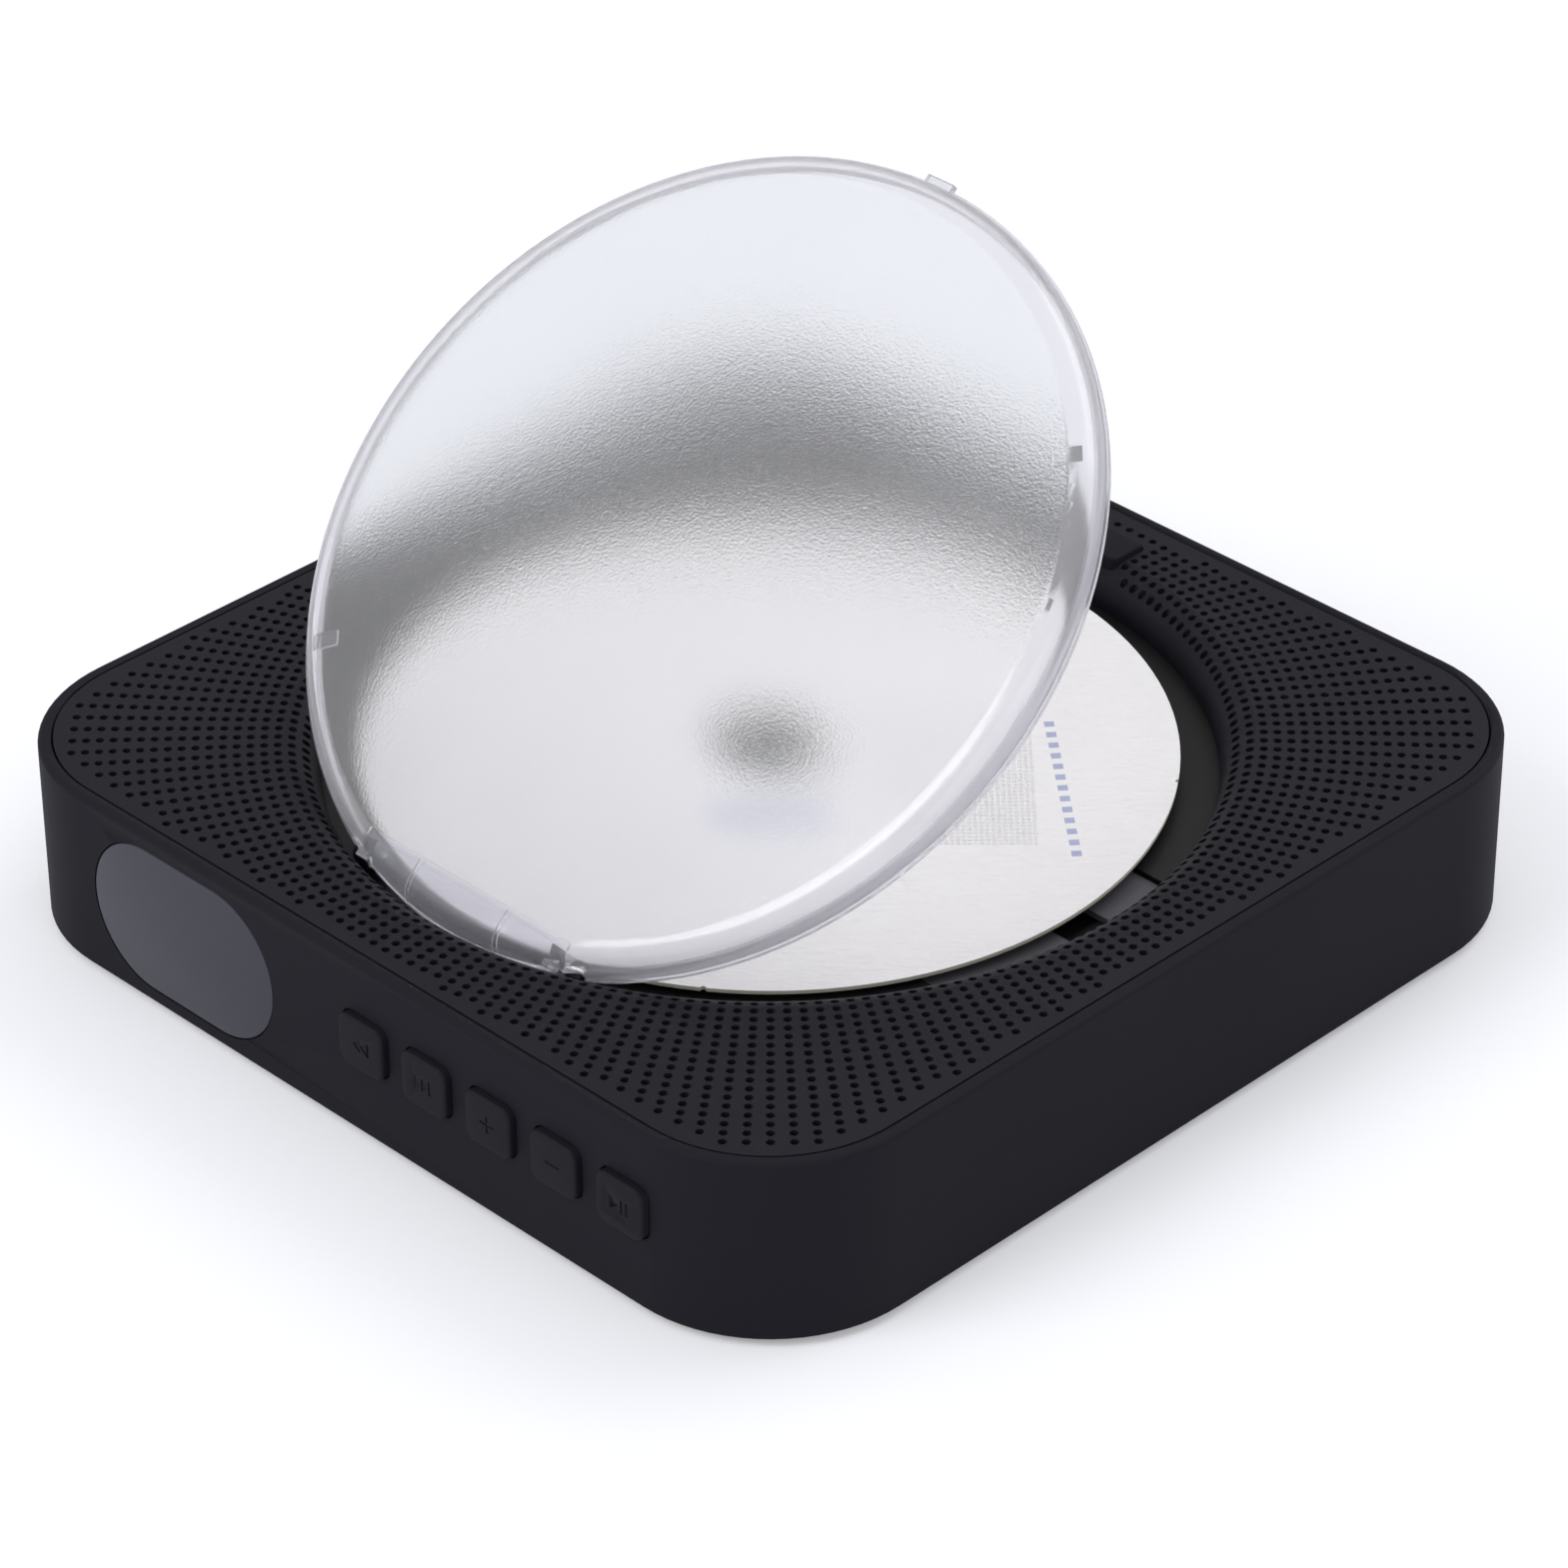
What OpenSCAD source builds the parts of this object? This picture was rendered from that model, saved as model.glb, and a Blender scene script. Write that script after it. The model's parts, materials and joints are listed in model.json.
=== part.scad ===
// Wall mounted disc player, lying on its back with the round lid standing open.
// The well axis is the Z axis, the key side faces -Y, and the rubber feet stand on z = 0.

/* [Body] */
// Width and depth of the square body
body_w = 202; // [196:1:220]
// Height of the body without its feet
body_h = 35.7; // [35:0.1:44]
// Radius of the upright corners
corner_r = 30; // [24:1:36]
// Thickness of the case wall
wall = 2.4; // [2:0.1:3]
// Rounding of the top edge
edge_r = 1; // [0.4:0.1:1.4]
// Rounding of the edge at the back
base_edge_r = 0.8; // [0.3:0.1:1.2]
// Thickness of the rear cover
cover_t = 2; // [1.8:0.1:2.6]
// How far the rubber feet stand out
foot_proud = 1.2; // [0.8:0.1:3]
// Radius of a rubber foot
foot_r = 6; // [4:0.5:9]

/* [Grille] */
// Thickness of the grille skin
deck_t = 1.6; // [1.2:0.1:2]
// Gap between the grille and the case rim
deck_gap = 0.4; // [0.2:0.05:0.6]
// Places for holes round one full ring, of which each ring uses every second one
hole_cols = 160; // [100:10:200]
// Distance between two rings of holes
hole_pitch = 3; // [2.43:0.01:4]
// Distance from the well to the innermost ring of holes
hole_in = 5.1; // [4:0.1:8]
// Diameter of a grille hole
hole_d = 1.45; // [1:0.05:1.6]
// Plain border outside the last holes
hole_border = 1.7; // [1.5:0.1:5]

/* [Well] */
// Radius of the disc well
well_r = 80; // [76:0.5:84]
// Depth of the well floor below the grille
well_depth = 8; // [7.6:0.1:9]
// Rounding of the lip
lip_r = 7; // [6:0.1:7.4]
// Thickness of the well floor and the baffle
well_t = 1.8; // [1.4:0.1:2.2]

/* [Lid] */
// Gap between the lid and the well
lid_gap = 2.4; // [2:0.1:4]
// Thickness of the lid
lid_t = 1.8; // [1.4:0.1:2]
// Height of the closed lid above the grille
lid_proud = 1.5; // [1:0.1:3]
// Rounding of the clear rim
rim_r = 5; // [4:0.1:5.4]
// How far the lid stands open
lid_open = 40; // [0:1:42]
// Distance of the hinge line inside the edge of the lid
hinge_in = 5.6; // [5.2:0.1:6]
// Depth of the hinge line below the grille
hinge_drop = 5.2; // [5:0.1:5.6]
// Radius of a hinge pin
pin_r = 1; // [0.8:0.05:1.2]

/* [Front] */
// Distance between two keys
key_pitch = 15.8; // [14:0.1:17]
// Width of a key
key_w = 11; // [9:0.1:12]
// Height of a key
key_h = 10.3; // [9:0.1:12]
// How far a key stands out
key_proud = 1.4; // [1.2:0.1:2]
// Travel of a key
key_travel = 0.8; // [0.4:0.1:0.9]
// Height of the display window
window_h = 29.4; // [24:0.1:30]
// Width of the display window
window_w = 47.2; // [40:0.1:52]

/* [Disc drive] */
// Thickness of the card disc
card_t = 0.75; // [0.5:0.05:1.2]
// Tilt of the card disc on its hub
card_tilt = 1.9; // [0:0.1:2]
// Radius of the turntable
table_r = 15; // [13:0.5:16]
// Lens distance from the spindle at the start of its travel
lens_in = 23.5; // [23:0.5:25]
// Travel of the laser sled
sled_travel = 34.5; // [20:0.5:34.5]
// Radius of a guide rod
rod_r = 1.5; // [1:0.1:1.6]
// Tooth module of the gears
tooth_m = 0.6; // [0.5:0.01:0.62]

/* [Sound] */
// Free space round a loudspeaker in its corner
speaker_gap = 2; // [1:0.1:5]
// Depth of a loudspeaker
speaker_d = 16; // [12:0.5:18]

/* [Hidden] */

// Clearance between pieces that only lie side by side
gap = 0.3;
// Radial clearance of a shaft that turns or slides
run = 0.05;
// Overlap of a cutting tool past a surface
eps = 1;

// Levels, all worked out from the height of the grille
base_z = foot_proud;
top_z = foot_proud + body_h;
inner_z = base_z + cover_t;
floor_z = top_z - well_depth;
shelf_w = 2;
shelf_h = 3.2;
baffle_z = top_z - deck_t - shelf_h;
felt_t = 0.5;

// Half widths of the nested square outlines, and of the flat part of a side
case_in = body_w / 2 - wall;
deck_half = case_in - deck_gap;
cover_half = case_in - gap;
felt_half = case_in - shelf_w - gap;
baffle_half = case_in - gap;
front_flat = body_w / 2 - corner_r;

// Radii round the well axis
tub_r = well_r + deck_t + 0.6;
tub_out = tub_r + well_t;
hole_start = well_r + hole_in;
lid_r = well_r - lid_gap;
hinge_y = lid_r - hinge_in;

// Screw posts that join the rear cover to the well
post_x = case_in - 7.6;
post_y = 32;
post_y_end = case_in - 8.1;
front_post = [-12, -post_y_end];
back_post = [22, post_y_end];
side_posts = [for (x = [post_x, -post_x], y = [post_y, -post_y]) [x, y]];
posts = concat(side_posts, [front_post, back_post]);
post_r = 3.2;
screw_r = 1.15;
screw_len = 12;
screw_head_r = 2.6;
screw_head_t = 1;
foot_xy = case_in - 18.6;
foot_sunk = 0.8;

// Lid release pad
pad_w = 13;
pad_d = 8.4;
pad_y = 87.4;
pad_proud = 1.2;
pad_travel = 1.2;
pad_r = 1;

// Hinge
axis_z = top_z - hinge_drop;
knuckle_r = 2.2;
ear_r = 2.4;
ear_t = 3;
knuckle_in = 22;
knuckle_out = 25;
hinge_side = 0.4;
wing_trim = 1.6;
wing_y = hinge_y - 2.4;
flange_out = 0.4;
flange_h = 0.8;
lid_skirt = 6.3;
rim_start = lid_r - rim_r;

// Front wall
keys_end = 0.9465 * front_flat;
key_x0 = keys_end - 4 * key_pitch;
key_z = top_z - 15.85;
key_r = 2.2;
key_flange = 1;
window_x = -0.6169 * front_flat;
window_z = top_z - 17.95;
window_gap = 0.25;
window_t = 1.6;
window_ledge = 1.6;
display = [34, 4, 18];
display_board_w = 44;
front_y = -body_w / 2;
front_in = -case_in;
switch_h = 3.5;
switch_w = 6;
plunger_h = 0.5;
plunger_gap = 0.9;
stem_len = 2.4;
board_t = 1.6;
standoff_h = 2.2;

// Ports in the back wall
back_in = case_in;
usb_x = -36;
phone_x = -19;
aux_x = -6;
inlet_x = 8;
switch_x = 40;
usb_w = 13.1;
usb_t = 5.7;
usb_len = 14;
port_z = inner_z + standoff_h + board_t + usb_t / 2;
usb_wall = 0.4;
jack_bore = 1.8;
jack_nose = 3;
jack_w = 8;
jack_len = 13;
inlet_bore = 2.8;
inlet_nose = 4;
inlet_pin = 1;
slot_w = 9;
slot_h = 3;
knob_w = 4.5;
knob_proud = key_proud;
switch_travel = 3;

// Main board
board_x = 50;
board_y0 = -45;
board_y1 = case_in - 1.6;
board_z = inner_z + standoff_h;
chips = [[-30, -30, 12, 12], [10, -32, 14, 9], [-32, 30, 9, 7], [26, 52, 10, 10]];
chip_h = 1.5;
cap_x = [-40, -31, 38];
cap_y = [66, 76];
cap_r = 3;
cap_h = 8;

// Mechanism
bay_x0 = -34;
bay_y0 = -29.5;
bay_y1 = 21;
bay_r = well_r - 1;
plate_drop = 0.9;
plate_t = 1.2;
plate_z = floor_z - plate_drop - plate_t;
chassis_h = 3.4;
chassis_t = 2;
chassis_z = plate_z - chassis_h;
chassis_x1 = 75;
hub_hole = 17.5;
win_x0 = 16;
win_x1 = 65;
win_y = 15;
slot_x1 = bay_r - 2.7;
slot_x0 = slot_x1 - 7.8;
slot_y0 = -2.6;
slot_y1 = 6.8;
table_t = 1.5;
table_z = floor_z + 2.7 - table_t;
boss_r = 7.4;
boss_h = 2.4;
hub_neck = 5;
shaft_r = 1;
motor_r = 12.5;
motor_h = 6;
card_r = norm([knuckle_in, hinge_y - knuckle_r]) - gap;
card_hole = 10;
card_low = -35.5;
card_z = top_z - 3.86 - card_t;
ball_r = 1.2;
damper_x = [-24, 64];
damper_y = [-34.5, 26];
damper_r = 4.5;
damper_neck = 2.9;
damper_bore = 2.1;
damper_t = 1.4;
pillar_r = 2;

// Laser sled and its drive
sled_h = 7;
sled_z = chassis_z - 0.5 - sled_h;
sled_back = 9;
sled_front = 13;
rod_y = 18;
rod_z = chassis_z - 3.5;
rod_x0 = 8;
rod_x1 = 74.5;
rod_block = 3;
lens_r = 3;
tower_r = 4.5;
rack_in = rod_y + rod_block + 0.4;
rack_y = rack_in + 2 + 1.25 * tooth_m;
rack_len = 40;
rack_teeth = floor(rack_len / (PI * tooth_m));
rack_h = 2.6;
rack_z = sled_z + 1.5;
small_teeth = 16;
big_teeth = 34;
pinion_teeth = 10;
gear_x = 33;
gear_y = rack_y + small_teeth * tooth_m / 2;
gear_face = 1.5;
big_z = sled_z - 0.5 - gear_face;
axle_r = 1;
train = (big_teeth + pinion_teeth) * tooth_m / 2;
motor_y = gear_y + train;
small_motor_r = 5;
backlash = 0.14;

// Loudspeakers in the two back corners, between the tub and the round corner of the case
corner_out = sqrt(2) * (case_in - corner_r + wall) + corner_r - wall;
speaker_r = (corner_out - tub_out) / 2 - speaker_gap;
speaker_xy = (corner_out + tub_out) / (2 * sqrt(2));
speaker_z = baffle_z - well_t;
speaker_flange = 1.2;
cone_h = 4.8;
cone_t = 0.8;
cone_roll = 3;
cap_in = 3;
magnet_r = 0.55 * speaker_r;
magnet_h = 6;

// Battery
battery = [30, 56, 14];
battery_x = -84;

// Wall hangers in the rear cover
hang_x = foot_xy - 10;
hang_y = 18 - foot_xy;
hang_head = 4.5;
hang_neck = 2.25;
hang_slot = 9;
hang_deep = 5;
hang_wall = 1.2;

black = [0.17, 0.17, 0.19];
grey = [0.33, 0.33, 0.36];
steel = [0.75, 0.76, 0.78];
green = [0.1, 0.35, 0.22];

// A square outline with round corners, given by its half width
module rounded_square(half, r) {
  square([2 * half, 2 * (half - r)], center = true);
  square([2 * (half - r), 2 * half], center = true);
  for (x = [-1, 1], y = [-1, 1]) translate([x * (half - r), y * (half - r)]) circle(r, $fn = 96);
}

// A bar outline with half round ends
module stadium(w, h) {
  square([w - h, h], center = true);
  for (x = [-1, 1]) translate([x * (w - h) / 2, 0]) circle(h / 2, $fn = 96);
}

// A rectangle with small round corners
module soft_rect(w, h, r) {
  square([w, h - 2 * r], center = true);
  square([w - 2 * r, h], center = true);
  for (x = [-1, 1], y = [-1, 1]) translate([x * (w / 2 - r), y * (h / 2 - r)]) circle(r, $fn = 32);
}

// Runs a profile along the outside of the square body
module round_the_body() {
  straight = body_w - 2 * corner_r;
  for (k = [0:3]) rotate(k * 90) {
    translate([straight / 2, straight / 2, 0])
      rotate_extrude(angle = 90, $fn = 96) translate([corner_r, 0]) children();
    translate([body_w / 2, -straight / 2, 0]) rotate([90, 0, 180]) linear_extrude(straight) children();
  }
}

// The corner that is taken off to leave a round edge
module edge_profile(r) {
  difference() {
    translate([-r, -r]) square(r + eps);
    translate([-r, -r]) circle(r, $fn = 48);
  }
}

// Turns an outline drawn in X and Z so that it is cut along Y
module along_y(x, y, z, len) {
  translate([x, y + len, z]) rotate([90, 0, 0]) linear_extrude(len) children();
}

module main_case() {
  color(black) difference() {
    translate([0, 0, base_z]) linear_extrude(body_h) rounded_square(body_w / 2, corner_r);
    translate([0, 0, base_z - eps]) linear_extrude(baffle_z - base_z + eps)
      rounded_square(case_in, corner_r - wall);
    translate([0, 0, top_z - deck_t]) linear_extrude(deck_t + eps) rounded_square(case_in, corner_r - wall);
    translate([0, 0, baffle_z - eps]) linear_extrude(shelf_h + 2 * eps)
      rounded_square(case_in - shelf_w, corner_r - wall - shelf_w);
    translate([0, 0, top_z]) round_the_body() edge_profile(edge_r);
    translate([0, 0, base_z]) mirror([0, 0, 1]) round_the_body() edge_profile(base_edge_r);
    along_y(window_x, front_y - eps, window_z, window_t + eps)
      stadium(window_w + 2 * window_gap, window_h + 2 * window_gap);
    along_y(window_x, front_y, window_z, wall + shelf_w + eps)
      stadium(window_w - 2 * window_ledge, window_h - 2 * window_ledge);
    for (k = [0:4]) along_y(key_x0 + k * key_pitch, front_y - eps, key_z, wall + 2 * eps)
      soft_rect(key_w + 2 * gap, key_h + 2 * gap, key_r + gap);
    along_y(usb_x, back_in - eps, port_z, wall + 2 * eps) square([usb_w + gap, usb_t + gap], center = true);
    for (x = [phone_x, aux_x]) along_y(x, back_in - eps, port_z, wall + 2 * eps)
      circle(jack_nose + gap, $fn = 48);
    along_y(inlet_x, back_in - eps, port_z, wall + 2 * eps) circle(inlet_nose + gap, $fn = 48);
    along_y(switch_x, back_in - eps, port_z, wall + 2 * eps) soft_rect(slot_w, slot_h, 0.6);
  }
}

// The well cut with its round lip, as seen from the axis outwards
module lip_profile() {
  difference() {
    translate([0, -well_depth - eps]) square([well_r + lip_r, well_depth + 2 * eps]);
    translate([well_r, -well_depth - 2 * eps]) square([lip_r + eps, well_depth - lip_r + 2 * eps]);
    translate([well_r + lip_r, -lip_r]) circle(lip_r, $fn = 96);
  }
}

// The hollow below the grille skin, which follows the lip at one skin thickness
module under_profile() {
  inner = lip_r - deck_t;
  translate([well_r + lip_r, -well_depth - eps]) square([body_w, well_depth + eps - deck_t]);
  translate([well_r + lip_r, -lip_r]) circle(inner, $fn = 96);
  translate([well_r + deck_t, -well_depth - eps]) square([inner + eps, well_depth - lip_r + eps]);
}

// Whether a point lies inside a rounded square
function inside(x, y, half, r) =
  max(abs(x), abs(y)) < half && norm([max(abs(x) - half + r, 0), max(abs(y) - half + r, 0)]) < r;

// Whether a hole keeps clear of the release pad
function clear_of_pad(x, y) =
  abs(x) > pad_w / 2 + gap + hole_d || abs(y - pad_y) > pad_d / 2 + gap + hole_d;

module pad_outline(extra) {
  translate([0, pad_y]) soft_rect(pad_w + 2 * extra, pad_d + 2 * extra, pad_r + extra);
}

// Rings of holes round the well: each ring keeps every second place, and the next ring the others
module grille_holes() {
  last = floor((sqrt(2) * deck_half - hole_start) / hole_pitch);
  for (i = [0:last], k = [i % 2:2:hole_cols - 1]) {
    ring = hole_start + i * hole_pitch;
    x = ring * cos(k * 360 / hole_cols);
    y = ring * sin(k * 360 / hole_cols);
    if (inside(x, y, deck_half - hole_border - hole_d / 2, corner_r - wall - hole_border)
        && clear_of_pad(x, y))
      translate([x, y, -lip_r]) cylinder(d = hole_d, h = lip_r + eps, $fn = 16);
  }
}

module grille_panel() {
  color(black) translate([0, 0, top_z]) difference() {
    translate([0, 0, -well_depth]) linear_extrude(well_depth)
      rounded_square(deck_half, corner_r - wall - deck_gap);
    rotate_extrude($fn = 180) lip_profile();
    rotate_extrude($fn = 180) under_profile();
    translate([0, 0, -well_depth]) linear_extrude(well_depth + eps) pad_outline(gap);
    grille_holes();
  }
}

module grille_felt() {
  color([0.1, 0.1, 0.11]) translate([0, 0, top_z - deck_t - felt_t]) linear_extrude(felt_t) difference() {
    rounded_square(felt_half, corner_r - wall - shelf_w - gap);
    circle(well_r + lip_r + 0.6, $fn = 180);
    pad_outline(1.5);
  }
}

// Outline of the mechanism bay in the well floor
module bay_outline(less) {
  intersection() {
    circle(bay_r - less, $fn = 180);
    translate([bay_x0 + less, bay_y0 + less]) square([bay_r - bay_x0, bay_y1 - bay_y0 - 2 * less]);
  }
}

module hinge_ear(x) {
  translate([x, -hinge_y, 0]) {
    translate([0, -ear_r, floor_z - well_t / 2]) cube([ear_t, 2 * ear_r, axis_z - floor_z + well_t / 2]);
    translate([0, 0, axis_z]) rotate([0, 90, 0]) cylinder(r = ear_r, h = ear_t, $fn = 48);
  }
}

// Places its children at both ears of one hinge, and mirrors them for the other
module both_hinges() {
  for (s = [0, 1]) mirror([s, 0, 0]) children();
}

// The tub in one piece with the baffle plate round it
module well_shell() {
  difference() {
    translate([0, 0, floor_z - well_t]) linear_extrude(baffle_z - floor_z + well_t)
      rounded_square(baffle_half, corner_r - wall - gap);
    translate([0, 0, floor_z - well_t - eps]) linear_extrude(baffle_z - floor_z + eps) difference() {
      square(2 * body_w, center = true);
      circle(tub_out, $fn = 180);
    }
  }
}

module disc_well() {
  color(black) difference() {
    union() {
      difference() {
        union() {
          well_shell();
          for (p = posts) translate([p[0], p[1], inner_z])
            cylinder(r = post_r, h = baffle_z - inner_z - well_t / 2, $fn = 48);
        }
        translate([0, 0, floor_z]) cylinder(r = tub_r, h = well_depth, $fn = 180);
      }
      for (x = damper_x, y = damper_y) translate([x, y, chassis_z - damper_t - 0.1])
        cylinder(r = pillar_r, h = floor_z - chassis_z + damper_t + 0.1 - well_t / 2, $fn = 48);
      both_hinges() hinge_ear(knuckle_out + hinge_side);
    }
    for (p = posts) translate([p[0], p[1], inner_z - eps])
      cylinder(r = screw_r + 0.1, h = screw_len + eps, $fn = 32);
    for (x = damper_x, y = damper_y) translate([x, y, chassis_z - 3 * eps])
      cylinder(r = screw_r - 0.05, h = 3 * eps + chassis_h, $fn = 32);
    translate([0, 0, floor_z - well_t - eps]) linear_extrude(well_t + 2 * eps) bay_outline(0);
    for (s = [-1, 1]) translate([s * speaker_xy, speaker_xy, speaker_z - eps])
      cylinder(r = speaker_r - 2.5, h = well_t + 2 * eps, $fn = 96);
    translate([0, 0, floor_z - well_t - eps]) linear_extrude(well_depth) pad_outline(gap);
    both_hinges() translate([knuckle_out, -hinge_y, axis_z]) rotate([0, 90, 0])
      cylinder(r = pin_r, h = ear_t + hinge_side + eps, $fn = 32);
  }
}

module hinge_pins() {
  color(steel) both_hinges() translate([knuckle_in, -hinge_y, axis_z]) rotate([0, 90, 0])
    cylinder(r = pin_r, h = knuckle_out - knuckle_in + hinge_side + ear_t, $fn = 32);
}

// Section through the closed lid from the axis to the rim, its outer face at height 0
module lid_section() {
  difference() {
    union() {
      translate([0, -rim_r]) square([rim_start, rim_r]);
      intersection() {
        translate([rim_start, -rim_r]) circle(rim_r, $fn = 96);
        translate([rim_start, -rim_r]) square(rim_r);
      }
      translate([rim_start, -lid_skirt]) square([rim_r, lid_skirt - rim_r]);
      translate([rim_start, -lid_skirt]) square([rim_r + flange_out, flange_h]);
    }
    translate([-eps, -lid_skirt - rim_r]) square([rim_start + eps, lid_skirt + rim_r - lid_t]);
    translate([rim_start, -rim_r]) circle(rim_r - lid_t, $fn = 96);
    translate([0, -lid_skirt - rim_r]) square([lid_r - lid_t, lid_skirt]);
  }
}

// The lid as it lies when it is closed
module closed_lid() {
  difference() {
    union() {
      translate([0, 0, top_z + lid_proud]) difference() {
        rotate_extrude($fn = 180) lid_section();
        translate([-knuckle_out - hinge_side, -lid_r - eps, -lid_skirt - eps])
          cube([2 * (knuckle_out + hinge_side), lid_r / 4, wing_trim + eps]);
      }
      both_hinges() translate([knuckle_in, -hinge_y, axis_z]) {
        rotate([0, 90, 0]) cylinder(r = knuckle_r, h = knuckle_out - knuckle_in, $fn = 48);
        translate([0, -knuckle_r + 0.4, 0])
          cube([knuckle_out - knuckle_in, 2 * knuckle_r - 0.4, hinge_drop + lid_proud - lid_t + 0.3]);
      }
      for (a = [37.5, 217.5]) rotate(a) translate([lid_r - 8, -1.5, top_z + lid_proud - lid_t - 0.6])
        cube([6, 3, 0.9]);
      translate([-knuckle_out, -wing_y, top_z + lid_proud - lid_t - 0.8]) cube([2 * knuckle_out, 1.2, 1]);
      translate([-3, lid_r - 0.5, top_z + lid_proud - lid_skirt]) cube([6, 2, 1.4]);
    }
    both_hinges() translate([knuckle_out, -hinge_y, axis_z]) rotate([0, 90, 0])
      cylinder(r = ear_r + 2 * gap, h = ear_t + 2 * hinge_side, $fn = 48);
    both_hinges() translate([knuckle_in - eps, -hinge_y, axis_z]) rotate([0, 90, 0])
      cylinder(r = pin_r + run, h = knuckle_out - knuckle_in + 2 * eps, $fn = 32);
  }
}

module lid() {
  color([0.86, 0.86, 0.9, 0.6]) translate([0, -hinge_y, axis_z]) rotate([lid_open, 0, 0])
    translate([0, hinge_y, -axis_z]) closed_lid();
}

module lid_release() {
  arm_z = baffle_z - well_t - gap - 1;
  color(black) {
    translate([0, 0, arm_z]) linear_extrude(top_z + pad_proud - arm_z) pad_outline(0);
    translate([-pad_w / 2 - 2.5, pad_y, arm_z]) cube([pad_w + 5, pad_d / 2 + 2.5, 1]);
  }
}

module display_window() {
  color([0.31, 0.31, 0.35]) along_y(window_x, front_y, window_z, window_t) stadium(window_w, window_h);
}

module display_module() {
  color([0.2, 0.2, 0.22]) along_y(window_x, front_in + gap, window_z, display[1])
    square([display[0], display[2]], center = true);
}

module display_board() {
  color(green) translate([window_x - display_board_w / 2, front_in + gap + display[1], inner_z])
    cube([display_board_w, board_t, baffle_z - well_t - gap - inner_z]);
}

// One key, as a cap with a flange behind the wall and a stem towards its switch
module key_cap(k) {
  x = key_x0 + k * key_pitch;
  color(black) {
    along_y(x, front_y - key_proud, key_z, key_proud + wall + gap) soft_rect(key_w, key_h, key_r);
    along_y(x, front_in + gap, key_z, key_flange) soft_rect(key_w + 2.4, key_h + 2.4, key_r);
    along_y(x, front_in + gap + key_flange - 0.5, key_z, stem_len + 0.5) circle(1.5, $fn = 32);
  }
}

module key_previous() { key_cap(0); }
module key_next() { key_cap(1); }
module key_plus() { key_cap(2); }
module key_minus() { key_cap(3); }
module key_mode() { key_cap(4); }

// Front face of the key board
key_board_y = front_in + gap + key_flange + stem_len + plunger_gap + plunger_h + switch_h;

module key_board() {
  color(green) translate([key_x0 - key_w / 2 - 1, key_board_y, inner_z])
    cube([4 * key_pitch + key_w + 2, board_t, key_z + key_h / 2 - inner_z]);
}

module key_switches() {
  color([0.15, 0.15, 0.16]) for (k = [0:4]) {
    along_y(key_x0 + k * key_pitch, key_board_y - switch_h, key_z, switch_h) square(switch_w, center = true);
    along_y(key_x0 + k * key_pitch, key_board_y - switch_h - plunger_h, key_z, plunger_h + 0.5)
      circle(1.75, $fn = 32);
  }
}

module main_board() {
  color(green) translate([0, 0, board_z]) linear_extrude(board_t) difference() {
    translate([-board_x, board_y0]) square([2 * board_x, board_y1 - board_y0]);
    for (p = posts) translate(p) circle(post_r + 2 * gap, $fn = 32);
    for (x = [-1, 1], y = [board_y0 + 5, 60]) translate([x * (board_x - 5), y]) circle(1.5, $fn = 32);
  }
}

module board_chips() {
  color([0.12, 0.12, 0.13]) for (c = chips)
    translate([c[0], c[1], board_z + board_t]) cube([c[2], c[3], chip_h]);
}

module capacitors() {
  color([0.2, 0.2, 0.3]) for (x = cap_x, y = cap_y) translate([x, y, board_z + board_t])
    cylinder(r = cap_r, h = cap_h, $fn = 32);
}

module usb_port() {
  color(steel) difference() {
    along_y(usb_x, back_in + gap - usb_len, port_z, usb_len + wall - 2 * gap)
      square([usb_w, usb_t], center = true);
    along_y(usb_x, back_in + gap - usb_len + 2, port_z, usb_len + wall)
      square([usb_w - 2 * usb_wall, usb_t - 2 * usb_wall], center = true);
  }
  color("white") along_y(usb_x, back_in + gap - usb_len + 1.9, port_z + 1.4, usb_len - 4)
    square([usb_w - 3, 1.8], center = true);
}

// A round socket that stands on the board, with its nose in the back wall
module socket(x, nose, bore) {
  low = port_z - board_z - board_t;
  difference() {
    union() {
      along_y(x, back_in - gap - jack_len, port_z - low, jack_len)
        translate([-jack_w / 2, 0]) square([jack_w, low + nose]);
      along_y(x, back_in - gap - eps, port_z, wall + eps) circle(nose, $fn = 48);
    }
    along_y(x, back_in - gap - jack_len + 2, port_z, jack_len + wall) circle(bore, $fn = 48);
  }
}

module headphone_jack() { color(black) socket(phone_x, jack_nose, jack_bore); }
module aux_jack() { color(black) socket(aux_x, jack_nose, jack_bore); }

module power_inlet() {
  color(black) socket(inlet_x, inlet_nose, inlet_bore);
  color(steel) along_y(inlet_x, back_in - gap - jack_len + 1.9, port_z, jack_len - 2)
    circle(inlet_pin, $fn = 32);
}

module switch_body() {
  color(steel) along_y(switch_x, back_in - gap - 7, board_z + board_t, 5)
    translate([-6, 0]) square([12, 2 * (port_z - board_z - board_t)]);
}

module power_switch() {
  color(black) along_y(switch_x - switch_travel / 2, back_in - gap - 1.7, port_z,
    1.7 + gap + wall + knob_proud) soft_rect(knob_w, slot_h - 2 * gap, 0.5);
}

// Puts its children at both loudspeakers, below the baffle
module at_speakers() {
  for (s = [-1, 1]) translate([s * speaker_xy, speaker_xy, speaker_z]) children();
}

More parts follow.
